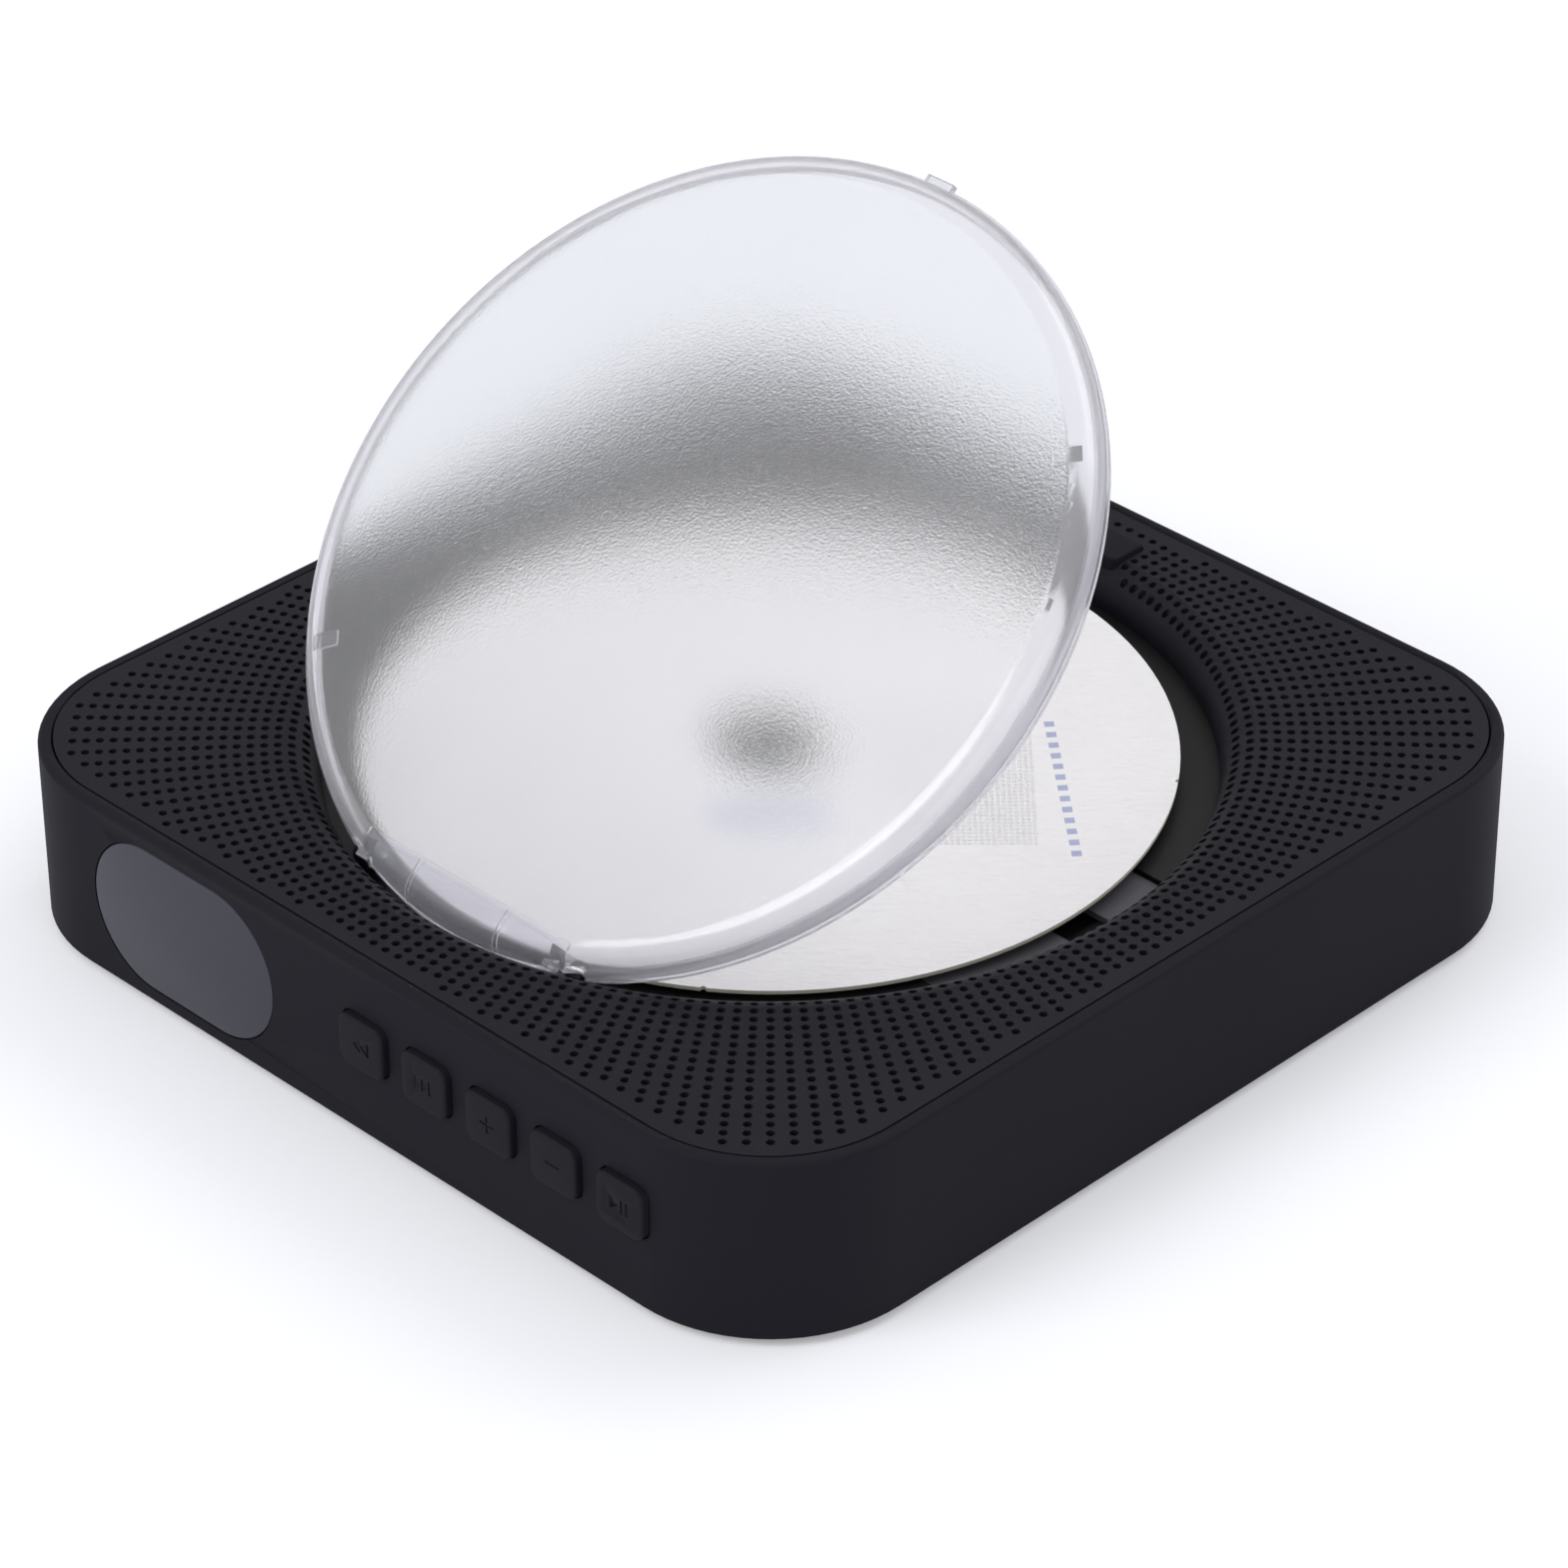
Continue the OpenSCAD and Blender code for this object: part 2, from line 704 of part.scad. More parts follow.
module speaker_baskets() {
  color([0.16, 0.16, 0.17]) at_speakers() difference() {
    union() {
      translate([0, 0, -speaker_flange]) cylinder(r = speaker_r, h = speaker_flange, $fn = 96);
      translate([0, 0, magnet_h - speaker_d]) cylinder(r1 = magnet_r, r2 = speaker_r - 2,
        h = speaker_d - magnet_h - speaker_flange, $fn = 96);
    }
    translate([0, 0, magnet_h - speaker_d + 1]) cylinder(r1 = magnet_r - 1, r2 = speaker_r - 3,
      h = speaker_d - magnet_h - speaker_flange - 1, $fn = 96);
    translate([0, 0, -speaker_flange - 0.01]) cylinder(r = speaker_r - 3, h = 2 * speaker_flange, $fn = 96);
    for (a = [0:90:270]) rotate(a + 45) translate([magnet_r + 1.5, -magnet_r / 3, magnet_h - speaker_d + 2.5])
      cube([speaker_r - magnet_r, 2 * magnet_r / 3, 4.5]);
  }
}

module speaker_cones() {
  cone_r = speaker_r - 3 - gap;
  edge = cone_r - cone_roll;
  color([0.08, 0.08, 0.09]) at_speakers() translate([0, 0, -gap]) rotate_extrude($fn = 96)
    polygon([[0, -cone_h], [cap_in, -cone_h], [edge, -cone_t], [cone_r, -cone_t], [cone_r, 0],
      [edge - 0.2, 0], [cap_in, cone_t - cone_h], [0, cone_t - cone_h]]);
}

module speaker_magnets() {
  color(steel) at_speakers() translate([0, 0, -speaker_d]) cylinder(r = magnet_r, h = magnet_h, $fn = 64);
}

module battery_pack() {
  color([0.15, 0.3, 0.6]) translate([battery_x, -battery[1] / 2, inner_z]) cube(battery);
}

// The windows in the mechanism plates for the hub and the laser sled
module drive_windows(extra) {
  circle(hub_hole + extra, $fn = 96);
  translate([win_x0 - extra, -win_y - extra]) square([win_x1 - win_x0 + 2 * extra, 2 * (win_y + extra)]);
}

module mech_cover() {
  color(grey) translate([0, 0, plate_z]) linear_extrude(plate_t) difference() {
    bay_outline(gap);
    drive_windows(0);
    translate([slot_x0, slot_y0]) square([slot_x1 - slot_x0, slot_y1 - slot_y0]);
  }
}

module chassis_outline() {
  translate([bay_x0 + 1, bay_y0 + 1]) square([chassis_x1 - bay_x0 - 1, bay_y1 - bay_y0 - 2]);
}

module mech_chassis() {
  ear_w = damper_neck + 3;
  color([0.22, 0.22, 0.24]) difference() {
    union() {
      translate([0, 0, chassis_z]) linear_extrude(chassis_t) {
        chassis_outline();
        for (x = damper_x) translate([x - ear_w, damper_y[0] - ear_w])
          square([2 * ear_w, damper_y[1] - damper_y[0] + 2 * ear_w]);
        translate([gear_x - 7, bay_y1 - 4]) square([14, motor_y + 7 - bay_y1 + 4]);
      }
      translate([0, 0, chassis_z]) linear_extrude(chassis_h) difference() {
        chassis_outline();
        translate([bay_x0 + 3, bay_y0 + 3]) square([chassis_x1 - bay_x0 - 5, bay_y1 - bay_y0 - 6]);
      }
      for (x = [rod_x0, rod_x1 - rod_block], s = [-1, 1])
        translate([x, s * rod_y - rod_block, rod_z - rod_block])
        cube([rod_block, 2 * rod_block, chassis_z - rod_z + rod_block + 0.5]);
      translate([gear_x, gear_y, big_z - gap])
        cylinder(r = axle_r, h = chassis_z - big_z + gap + 0.5, $fn = 32);
    }
    translate([0, 0, chassis_z - eps]) linear_extrude(chassis_h + 2 * eps) drive_windows(0.5);
    for (x = damper_x, y = damper_y) translate([x, y, chassis_z - eps])
      cylinder(r = damper_neck + 0.1, h = chassis_t + 2 * eps, $fn = 48);
    for (s = [-1, 1]) translate([rod_x0 - eps, s * rod_y, rod_z]) rotate([0, 90, 0])
      cylinder(r = rod_r, h = rod_x1 - rod_x0 + 2 * eps, $fn = 32);
    translate([gear_x, motor_y, chassis_z - eps]) cylinder(r = 1.6, h = chassis_t + 2 * eps, $fn = 32);
  }
}

module mech_dampers() {
  color([0.1, 0.1, 0.1]) for (x = damper_x, y = damper_y) translate([x, y, chassis_z]) difference() {
    union() {
      translate([0, 0, -damper_t]) cylinder(r = damper_r, h = damper_t, $fn = 48);
      translate([0, 0, -damper_t]) cylinder(r = damper_neck, h = chassis_t + 2 * damper_t, $fn = 48);
      translate([0, 0, chassis_t]) cylinder(r = damper_r, h = damper_t, $fn = 48);
    }
    translate([0, 0, -damper_t - eps])
      cylinder(r = damper_bore, h = chassis_t + 2 * (damper_t + eps), $fn = 48);
  }
}

module damper_screws() {
  color(steel) for (x = damper_x, y = damper_y) translate([x, y, chassis_z - damper_t - 0.1]) {
    translate([0, 0, -1.2]) cylinder(r = 3.5, h = 1.2, $fn = 48);
    cylinder(r = screw_r - 0.15, h = 4, $fn = 32);
  }
}

module spindle_motor() {
  color(steel) translate([0, 0, chassis_z - motor_h]) difference() {
    linear_extrude(motor_h) {
      circle(motor_r, $fn = 96);
      square([8, 2 * hub_hole + 8], center = true);
    }
    for (a = [90, 270]) rotate(a) translate([hub_hole + 2, 0, 0])
      cylinder(r = 1, h = motor_h + eps, $fn = 32);
    for (a = [90, 270]) rotate(a) translate([motor_r + 0.2, -5, -eps]) cube([12, 10, motor_h - 1 + eps]);
    translate([0, 0, -eps]) cylinder(r = shaft_r + run, h = motor_h + 2 * eps, $fn = 32);
  }
}

module spindle_shaft() {
  color(steel) translate([0, 0, chassis_z - motor_h - 0.5])
    cylinder(r = shaft_r, h = table_z + table_t - chassis_z + motor_h + 0.5, $fn = 32);
}

module turntable_hub() {
  color(black) difference() {
    union() {
      translate([0, 0, table_z]) cylinder(r = table_r, h = table_t, $fn = 96);
      translate([0, 0, chassis_z + 0.6]) cylinder(r = hub_neck, h = table_z - chassis_z, $fn = 64);
      translate([0, 0, table_z + table_t - 0.1]) cylinder(r = boss_r, h = boss_h - 0.9, $fn = 96);
      translate([0, 0, table_z + table_t + boss_h - 1])
        cylinder(r1 = boss_r, r2 = boss_r - 1, h = 1, $fn = 96);
    }
    translate([0, 0, chassis_z - eps])
      cylinder(r = shaft_r, h = table_z + table_t - chassis_z + eps, $fn = 32);
    three_balls();
  }
}

module three_balls() {
  for (a = [0:120:240]) rotate(a) translate([boss_r - ball_r + 0.3, 0, table_z + table_t + 1])
    sphere(ball_r, $fn = 32);
}

module centring_balls() {
  color(steel) three_balls();
}

module card_disc() {
  nick = 0.5;
  color([0.92, 0.9, 0.9]) translate([0, 0, card_z])
    rotate(card_low) rotate([0, card_tilt, 0]) rotate(-card_low)
    linear_extrude(card_t) difference() {
      circle(card_r, $fn = 180);
      circle(card_hole, $fn = 64);
      for (a = [36, 126, 216, 306]) rotate(a) translate([card_r, 0]) circle(nick, $fn = 16);
    }
}

module pickup_sled() {
  width = rod_y + 2.2;
  color([0.14, 0.14, 0.16]) difference() {
    union() {
      translate([lens_in - sled_back, -width, sled_z]) cube([sled_back + sled_front, 2 * width, sled_h]);
      translate([lens_in, 0, sled_z + sled_h - 0.5])
        cylinder(r = tower_r, h = floor_z - 0.6 - sled_z - sled_h, $fn = 48);
      translate([lens_in - sled_back, width - 0.5, rack_z])
        cube([sled_back + sled_front, rack_in - width + 1, rack_h]);
      translate([lens_in - sled_back - 18, rack_in, rack_z])
        cube([rack_len, rack_y - rack_in - 1.2 * tooth_m, rack_h]);
      translate([lens_in - sled_back - 18, rack_y, rack_z]) linear_extrude(rack_h) rack_teeth_outline();
    }
    for (s = [-1, 1]) translate([lens_in - sled_back - eps, s * rod_y, rod_z]) rotate([0, 90, 0])
      cylinder(r = rod_r + run, h = sled_back + sled_front + 2 * eps, $fn = 32);
    translate([lens_in - 6, -14, sled_z - eps]) cube([12, 22, sled_h - 2.5 + eps]);
  }
}

// Straight sided rack teeth, their pitch line along X, with one space at the meshing gear
module rack_teeth_outline() {
  pitch = PI * tooth_m;
  phase = (gear_x - lens_in + sled_back + 18) % pitch;
  tip = tooth_m;
  root = 1.3 * tooth_m;
  half_tip = pitch / 4 - tip * tan(20) - backlash / 2;
  half_root = pitch / 4 + root * tan(20) - backlash / 2;
  intersection() {
    translate([0, -root]) square([rack_len, root + tip]);
    for (k = [-1:rack_teeth]) translate([phase + (k + 0.5) * pitch, 0])
      polygon([[-half_root, -root], [half_root, -root], [half_tip, tip], [-half_tip, tip]]);
  }
}

module pickup_lens() {
  color([0.35, 0.5, 0.75]) translate([lens_in, 0, floor_z - 1.1]) rotate_extrude($fn = 64) intersection() {
    square([lens_r, 1.6]);
    translate([0, -6]) circle(7.6, $fn = 128);
  }
}

module guide_rods() {
  color(steel) for (s = [-1, 1]) translate([rod_x0, s * rod_y, rod_z]) rotate([0, 90, 0])
    cylinder(r = rod_r, h = rod_x1 - rod_x0, $fn = 32);
}

// Involute flank: the angle at the axis where the flank of a gear reaches radius r
function flank(r, base) = r <= base ? 0 : sqrt(pow(r / base, 2) - 1) * 180 / PI - acos(base / r);

// A spur gear with involute teeth, one tooth centred on the X axis
module gear(teeth, h) {
  pitch_r = teeth * tooth_m / 2;
  base = pitch_r * cos(20);
  tip = pitch_r + tooth_m;
  root = pitch_r - 1.25 * tooth_m;
  half = 90 / teeth + flank(pitch_r, base) - backlash / (2 * pitch_r) * 180 / PI;
  radii = [for (k = [0:2]) max(root, base) + k * (tip - max(root, base)) / 2];
  points = [for (t = [0:teeth - 1]) let (a = t * 360 / teeth)
    each concat(
      [root * [cos(a - half), sin(a - half)]],
      [for (k = [0:2]) let (b = a - half + flank(radii[k], base)) radii[k] * [cos(b), sin(b)]],
      [for (k = [2:-1:0]) let (b = a + half - flank(radii[k], base)) radii[k] * [cos(b), sin(b)]],
      [root * [cos(a + half), sin(a + half)]])];
  linear_extrude(h) polygon(points);
}

module drive_gear() {
  small_h = rack_z + rack_h - big_z - gear_face;
  color([0.9, 0.9, 0.86]) translate([gear_x, gear_y, big_z]) difference() {
    union() {
      gear(big_teeth, gear_face);
      translate([0, 0, gear_face - 0.1]) rotate(-90) gear(small_teeth, small_h + 0.1);
    }
    translate([0, 0, -eps]) cylinder(r = axle_r + run, h = small_h + 10, $fn = 32);
  }
}

module motor_pinion() {
  color([0.9, 0.9, 0.86]) translate([gear_x, motor_y, big_z]) {
    rotate(-90) gear(pinion_teeth, gear_face);
    cylinder(r = shaft_r, h = chassis_z - big_z - 1, $fn = 32);
  }
}

module sled_motor() {
  low = big_z + gear_face + 0.6;
  color(steel) translate([gear_x, motor_y, low]) difference() {
    cylinder(r = small_motor_r, h = chassis_z - low, $fn = 64);
    translate([0, 0, -eps]) cylinder(r = shaft_r + run, h = chassis_z - low + 2 * eps, $fn = 32);
  }
}

module rubber_feet() {
  color([0.09, 0.09, 0.1]) for (x = [-1, 1], y = [-1, 1]) translate([x * foot_xy, y * foot_xy, 0])
    cylinder(r = foot_r, h = foot_proud + foot_sunk, $fn = 64);
}

module case_screws() {
  color(steel) for (p = posts) translate([p[0], p[1], base_z]) {
    difference() {
      cylinder(r = screw_head_r, h = screw_head_t, $fn = 48);
      for (a = [0, 90]) rotate(a) translate([-1.5, -0.3, -eps]) cube([3, 0.6, eps + 0.6]);
    }
    translate([0, 0, screw_head_t - 0.1]) cylinder(r = screw_r, h = screw_len - 2, $fn = 32);
  }
}

// A closed pocket inside the cover that takes the head of a wall screw
module hanger_pocket(extra, h) {
  linear_extrude(h) {
    circle(hang_head + extra, $fn = 48);
    translate([-hang_head - extra, -hang_slot - extra]) square([2 * (hang_head + extra), hang_slot + extra]);
  }
}

module rear_cover() {
  color(black) difference() {
    union() {
      translate([0, 0, base_z]) linear_extrude(cover_t) rounded_square(cover_half, corner_r - wall - gap);
      for (s = [-1, 1]) translate([s * hang_x, hang_y, base_z]) hanger_pocket(hang_wall, cover_t + hang_deep);
      for (x = [-1, 1], y = [board_y0 + 5, 60]) translate([x * (board_x - 5), y, base_z]) {
        cylinder(r = 3, h = cover_t + standoff_h, $fn = 48);
        cylinder(r = 1.4, h = cover_t + standoff_h + board_t, $fn = 32);
      }
    }
    for (s = [-1, 1]) translate([s * hang_x, hang_y, base_z]) {
      translate([0, 0, cover_t]) hanger_pocket(0, hang_deep - hang_wall);
      translate([0, 0, -eps]) cylinder(r = hang_head, h = cover_t + 2 * eps, $fn = 48);
      translate([-hang_neck, -hang_slot, -eps]) cube([2 * hang_neck, hang_slot, cover_t + 2 * eps]);
      translate([0, -hang_slot, -eps]) cylinder(r = hang_neck, h = cover_t + 2 * eps, $fn = 32);
    }
    for (p = posts) translate([p[0], p[1], base_z - eps]) {
      cylinder(r = screw_head_r + 0.1, h = screw_head_t + eps, $fn = 48);
      cylinder(r = screw_r + 0.2, h = cover_t + 2 * eps, $fn = 32);
    }
    for (x = [-1, 1], y = [-1, 1]) translate([x * foot_xy, y * foot_xy, base_z - eps])
      cylinder(r = foot_r, h = foot_sunk + eps, $fn = 64);
    for (k = [-4:4], s = [-1, 1]) translate([s * 20, k * 5 + 10, base_z - eps])
      linear_extrude(cover_t + 2 * eps)
      stadium(28, 2);
  }
}

main_case();
rear_cover();
grille_panel();
grille_felt();
disc_well();
hinge_pins();
lid();
lid_release();
display_window();
display_module();
display_board();
key_previous();
key_next();
key_plus();
key_minus();
key_mode();
key_board();
key_switches();
main_board();
board_chips();
capacitors();
usb_port();
headphone_jack();
aux_jack();
power_inlet();
power_switch();
switch_body();
speaker_baskets();
speaker_cones();
speaker_magnets();
battery_pack();
mech_cover();
mech_chassis();
mech_dampers();
damper_screws();
spindle_motor();
spindle_shaft();
turntable_hub();
centring_balls();
card_disc();
pickup_sled();
pickup_lens();
guide_rods();
sled_motor();
motor_pinion();
drive_gear();
rubber_feet();
case_screws();
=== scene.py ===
import json
import math
import bmesh
import bpy
from mathutils import Matrix, Vector

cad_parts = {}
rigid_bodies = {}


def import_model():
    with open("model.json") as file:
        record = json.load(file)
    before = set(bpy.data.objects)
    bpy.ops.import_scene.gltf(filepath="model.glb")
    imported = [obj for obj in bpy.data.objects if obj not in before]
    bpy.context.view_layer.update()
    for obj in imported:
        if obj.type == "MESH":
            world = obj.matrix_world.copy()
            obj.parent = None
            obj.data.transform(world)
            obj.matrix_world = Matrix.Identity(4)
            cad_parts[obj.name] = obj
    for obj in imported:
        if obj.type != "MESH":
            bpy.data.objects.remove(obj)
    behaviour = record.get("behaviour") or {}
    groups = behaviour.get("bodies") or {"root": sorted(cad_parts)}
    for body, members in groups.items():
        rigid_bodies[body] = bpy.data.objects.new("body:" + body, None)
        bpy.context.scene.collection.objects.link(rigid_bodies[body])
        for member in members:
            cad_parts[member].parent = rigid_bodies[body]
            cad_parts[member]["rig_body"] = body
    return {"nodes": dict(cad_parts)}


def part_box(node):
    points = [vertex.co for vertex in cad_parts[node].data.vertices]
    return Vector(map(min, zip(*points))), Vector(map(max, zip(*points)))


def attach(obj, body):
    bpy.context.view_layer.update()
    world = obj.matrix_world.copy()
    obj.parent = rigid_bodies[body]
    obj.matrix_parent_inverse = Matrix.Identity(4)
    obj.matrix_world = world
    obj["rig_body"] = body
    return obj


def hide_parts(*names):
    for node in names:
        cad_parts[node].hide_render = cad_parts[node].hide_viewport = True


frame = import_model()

print("stage 1: the packed player is loaded")
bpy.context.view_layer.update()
mm = 0.001
nodes = frame["nodes"]
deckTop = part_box("main_case")[1].z  # the top plane of the rim and the grille
wellAxis = Vector((0, 0, deckTop))


# camera, fitted to the photo: angles in degrees, shifts and distance in millimetres
cameraFit = {"lens": 141.743, "sensor": 36, "reach": 20, "turn": 45.110, "lift": 33.3184, "roll": -0.32667,
             "across": 2.3422, "up": -10.3671, "away": 1098.219}


def placeCamera(fit):
    turn, lift, roll = (math.radians(fit[k]) for k in ("turn", "lift", "roll"))
    back = Vector((math.sin(turn) * math.cos(lift), -math.cos(turn) * math.cos(lift), math.sin(lift)))
    right = Vector((math.cos(turn), math.sin(turn), 0))
    up = back.cross(right)
    right, up = (right * math.cos(roll) + up * math.sin(roll), up * math.cos(roll) - right * math.sin(roll))
    data = bpy.data.cameras.new("photoCamera")
    data.lens = fit["lens"]
    data.sensor_width = fit["sensor"]
    data.clip_end = fit["reach"]
    camera = bpy.data.objects.new("photoCamera", data)
    bpy.context.scene.collection.objects.link(camera)
    place = (right * fit["across"] + up * fit["up"] + back * fit["away"]) * mm + wellAxis
    turned = Matrix((right, up, back)).transposed().to_4x4()
    camera.matrix_world = Matrix.Translation(place) @ turned
    bpy.context.scene.camera = camera


placeCamera(cameraFit)


# helpers for node trees
def feed(tree, socket, value):
    if isinstance(value, bpy.types.NodeSocket):
        tree.links.new(value, socket)
    else:
        socket.default_value = value


def addNode(tree, kind, settings=None, **values):
    node = tree.nodes.new(kind)
    for key, value in (settings or {}).items():
        setattr(node, key, value)
    for key, value in values.items():
        feed(tree, node.inputs[key], value)
    return node


def calculate(tree, operation, *values, clamp=False):
    node = addNode(tree, "ShaderNodeMath", {"operation": operation, "use_clamp": clamp})
    for slot, value in enumerate(values):
        feed(tree, node.inputs[slot], value)
    return node.outputs[0]


def calculateVector(tree, operation, *values):
    node = addNode(tree, "ShaderNodeVectorMath", {"operation": operation})
    for slot, value in enumerate(values):
        feed(tree, node.inputs[slot], value)
    return node.outputs["Value"] if operation == "LENGTH" else node.outputs["Vector"]


def remap(tree, value, fromLow, fromHigh, toLow, toHigh):
    node = addNode(tree, "ShaderNodeMapRange")
    for slot, given in enumerate((value, fromLow, fromHigh, toLow, toHigh)):
        feed(tree, node.inputs[slot], given)
    return node.outputs[0]


def mixColour(tree, share, first, second):
    node = addNode(tree, "ShaderNodeMix", {"data_type": "RGBA"})
    for slot, given in ((0, share), (6, first), (7, second)):
        feed(tree, node.inputs[slot], given)
    return node.outputs[2]


def objectPlace(tree):
    return addNode(tree, "ShaderNodeTexCoord").outputs["Object"]


def makeGroup(name, inputs, outputs):
    group = bpy.data.node_groups.new(name, "ShaderNodeTree")
    for label, kind, value in inputs:
        socket = group.interface.new_socket(label, in_out="INPUT", socket_type=kind)
        socket.default_value = value
    for label, kind in outputs:
        group.interface.new_socket(label, in_out="OUTPUT", socket_type=kind)
    return group, group.nodes.new("NodeGroupInput").outputs, group.nodes.new("NodeGroupOutput").inputs


def linkAll(tree, ends, results):
    for label, socket in results.items():
        tree.links.new(socket, ends[label])


# finishes
grainLook = {"fine": {"Detail": 3.0, "Roughness": 0.6}, "cloud": {"Detail": 4.0, "Roughness": 0.55},
             "speckRange": (0.35, 0.75, 0.0, 0.35), "patchRange": (0.38, 0.72, 0.0, 1.0)}
brushLook = {"Scale": 1.0, "Detail": 4.0, "Roughness": 0.7}
patchBorder = 0.97  # share of the half size at which a patch's border starts


def buildMouldedGrain():
    group, given, ends = makeGroup(
        "mouldedGrain",
        [("Colour", "NodeSocketColor", (0.1, 0.1, 0.1, 1)),
         ("Worn colour", "NodeSocketColor", (0.2, 0.2, 0.2, 1)),
         ("Grain size", "NodeSocketFloat", 2400.0),
         ("Cloud size", "NodeSocketFloat", 18.0),
         ("Cloud amount", "NodeSocketFloat", 0.3),
         ("Roughness", "NodeSocketFloat", 0.5),
         ("Roughness spread", "NodeSocketFloat", 0.1)],
        [("Colour", "NodeSocketColor"), ("Roughness", "NodeSocketFloat"), ("Height", "NodeSocketFloat")])
    fine, cloud = (addNode(group, "ShaderNodeTexNoise", Vector=objectPlace(group), Scale=given[size],
                           **grainLook[kind]).outputs["Fac"]
                   for kind, size in (("fine", "Grain size"), ("cloud", "Cloud size")))
    speck = remap(group, fine, *grainLook["speckRange"])
    patch = remap(group, cloud, *grainLook["patchRange"])
    both = calculate(group, "ADD", speck, patch)
    share = calculate(group, "MULTIPLY", both, given["Cloud amount"], clamp=True)
    spread = calculate(group, "MULTIPLY", patch, given["Roughness spread"])
    linkAll(group, ends, {"Colour": mixColour(group, share, given["Colour"], given["Worn colour"]),
                          "Roughness": calculate(group, "ADD", spread, given["Roughness"], clamp=True),
                          "Height": fine})
    return group


def buildBrushedLines():
    group, given, ends = makeGroup(
        "brushedLines",
        [("Stretch", "NodeSocketVector", (40.0, 40.0, 3000.0)),
         ("Roughness", "NodeSocketFloat", 0.3),
         ("Roughness spread", "NodeSocketFloat", 0.15)],
        [("Shade", "NodeSocketFloat"), ("Roughness", "NodeSocketFloat"), ("Height", "NodeSocketFloat")])
    drawnOut = calculateVector(group, "MULTIPLY", objectPlace(group), given["Stretch"])
    lines = addNode(group, "ShaderNodeTexNoise", Vector=drawnOut, **brushLook).outputs["Fac"]
    spread = calculate(group, "MULTIPLY", lines, given["Roughness spread"])
    linkAll(group, ends, {"Shade": lines, "Roughness": calculate(group, "ADD", spread, given["Roughness"]),
                          "Height": lines})
    return group


def buildPlacedPatch():
    group, given, ends = makeGroup(
        "placedPatch",
        [("Place", "NodeSocketVector", (0, 0, 0)),
         ("Turn", "NodeSocketVector", (0, 0, 0)),
         ("Half size", "NodeSocketVector", (1, 1, 1))],
        [("Inside", "NodeSocketFloat"), ("Border", "NodeSocketFloat"), ("Along", "NodeSocketFloat")])
    placed = addNode(group, "ShaderNodeMapping", {"vector_type": "TEXTURE"}, Vector=objectPlace(group),
                     Location=given["Place"], Rotation=given["Turn"], Scale=given["Half size"])
    split = addNode(group, "ShaderNodeSeparateXYZ", Vector=placed.outputs[0]).outputs
    reach = [calculate(group, "ABSOLUTE", split[axis]) for axis in (0, 1)]
    far = calculate(group, "MAXIMUM", *reach)
    inside = calculate(group, "LESS_THAN", far, 1.0)
    edge = calculate(group, "GREATER_THAN", far, patchBorder)
    linkAll(group, ends, {"Inside": inside, "Border": calculate(group, "MULTIPLY", inside, edge),
                          "Along": split[0]})
    return group


mouldedGrain = buildMouldedGrain()
brushedLines = buildBrushedLines()
placedPatch = buildPlacedPatch()


def startMaterial(name):
    material = bpy.data.materials.new(name)
    material.use_nodes = True
    tree = material.node_tree
    return material, tree, tree.nodes["Principled BSDF"]


def placeGroup(tree, group, values):
    placed = addNode(tree, "ShaderNodeGroup", {"node_tree": group})
    for label, value in values.items():
        placed.inputs[label].default_value = value
    return placed.outputs


def linkFinish(tree, shader, colour, roughness, height, bump, depth):
    raised = addNode(tree, "ShaderNodeBump", Strength=bump, Distance=depth, Height=height)
    linkAll(tree, shader.inputs, {"Base Color": colour, "Roughness": roughness, "Normal": raised.outputs[0]})


def mouldedMaterial(name, colour, worn, roughness=0.5, spread=0.08, grain=2400.0, cloud=18.0, amount=0.3,
                    bump=0.15, depth=0.04 * mm, specular=0.5):
    material, tree, shader = startMaterial(name)
    grained = placeGroup(tree, mouldedGrain, {
        "Colour": (*colour, 1), "Worn colour": (*worn, 1), "Grain size": grain, "Cloud size": cloud,
        "Cloud amount": amount, "Roughness": roughness, "Roughness spread": spread})
    linkFinish(tree, shader, grained["Colour"], grained["Roughness"], grained["Height"], bump, depth)
    shader.inputs["Specular IOR Level"].default_value = specular
    return material


def metalMaterial(name, dark, light, roughness=0.3, stretch=(40.0, 40.0, 3000.0), bump=0.1, depth=0.02 * mm):
    material, tree, shader = startMaterial(name)
    drawn = placeGroup(tree, brushedLines, {"Stretch": stretch, "Roughness": roughness})
    colour = mixColour(tree, drawn["Shade"], (*dark, 1), (*light, 1))
    linkFinish(tree, shader, colour, drawn["Roughness"], drawn["Height"], bump, depth)
    shader.inputs["Metallic"].default_value = 1.0
    return material


def clearMaterial(name, colour, roughness, mottled, grain=1800.0, spread=0.03, bump=0.02, depth=0.03 * mm,
                  ior=1.49, clear=1.0):
    material, tree, shader = startMaterial(name)
    grained = placeGroup(tree, mouldedGrain, {
        "Colour": (*colour, 1), "Worn colour": (*mottled, 1), "Grain size": grain, "Roughness": roughness,
        "Roughness spread": spread})
    linkFinish(tree, shader, grained["Colour"], grained["Roughness"], grained["Height"], bump, depth)
    shader.inputs["Transmission Weight"].default_value = clear
    shader.inputs["IOR"].default_value = ior
    return material


# the hinge wing of the lid: clear, with two pale lines beside its middle
wingLook = {"colour": (0.86, 0.86, 0.93), "mottled": (0.8, 0.8, 0.88), "roughness": 0.16, "clear": 0.86,
            "lineColour": (0.98, 0.98, 1, 1), "lineAt": 11 * mm, "lineHalf": 0.13 * mm}


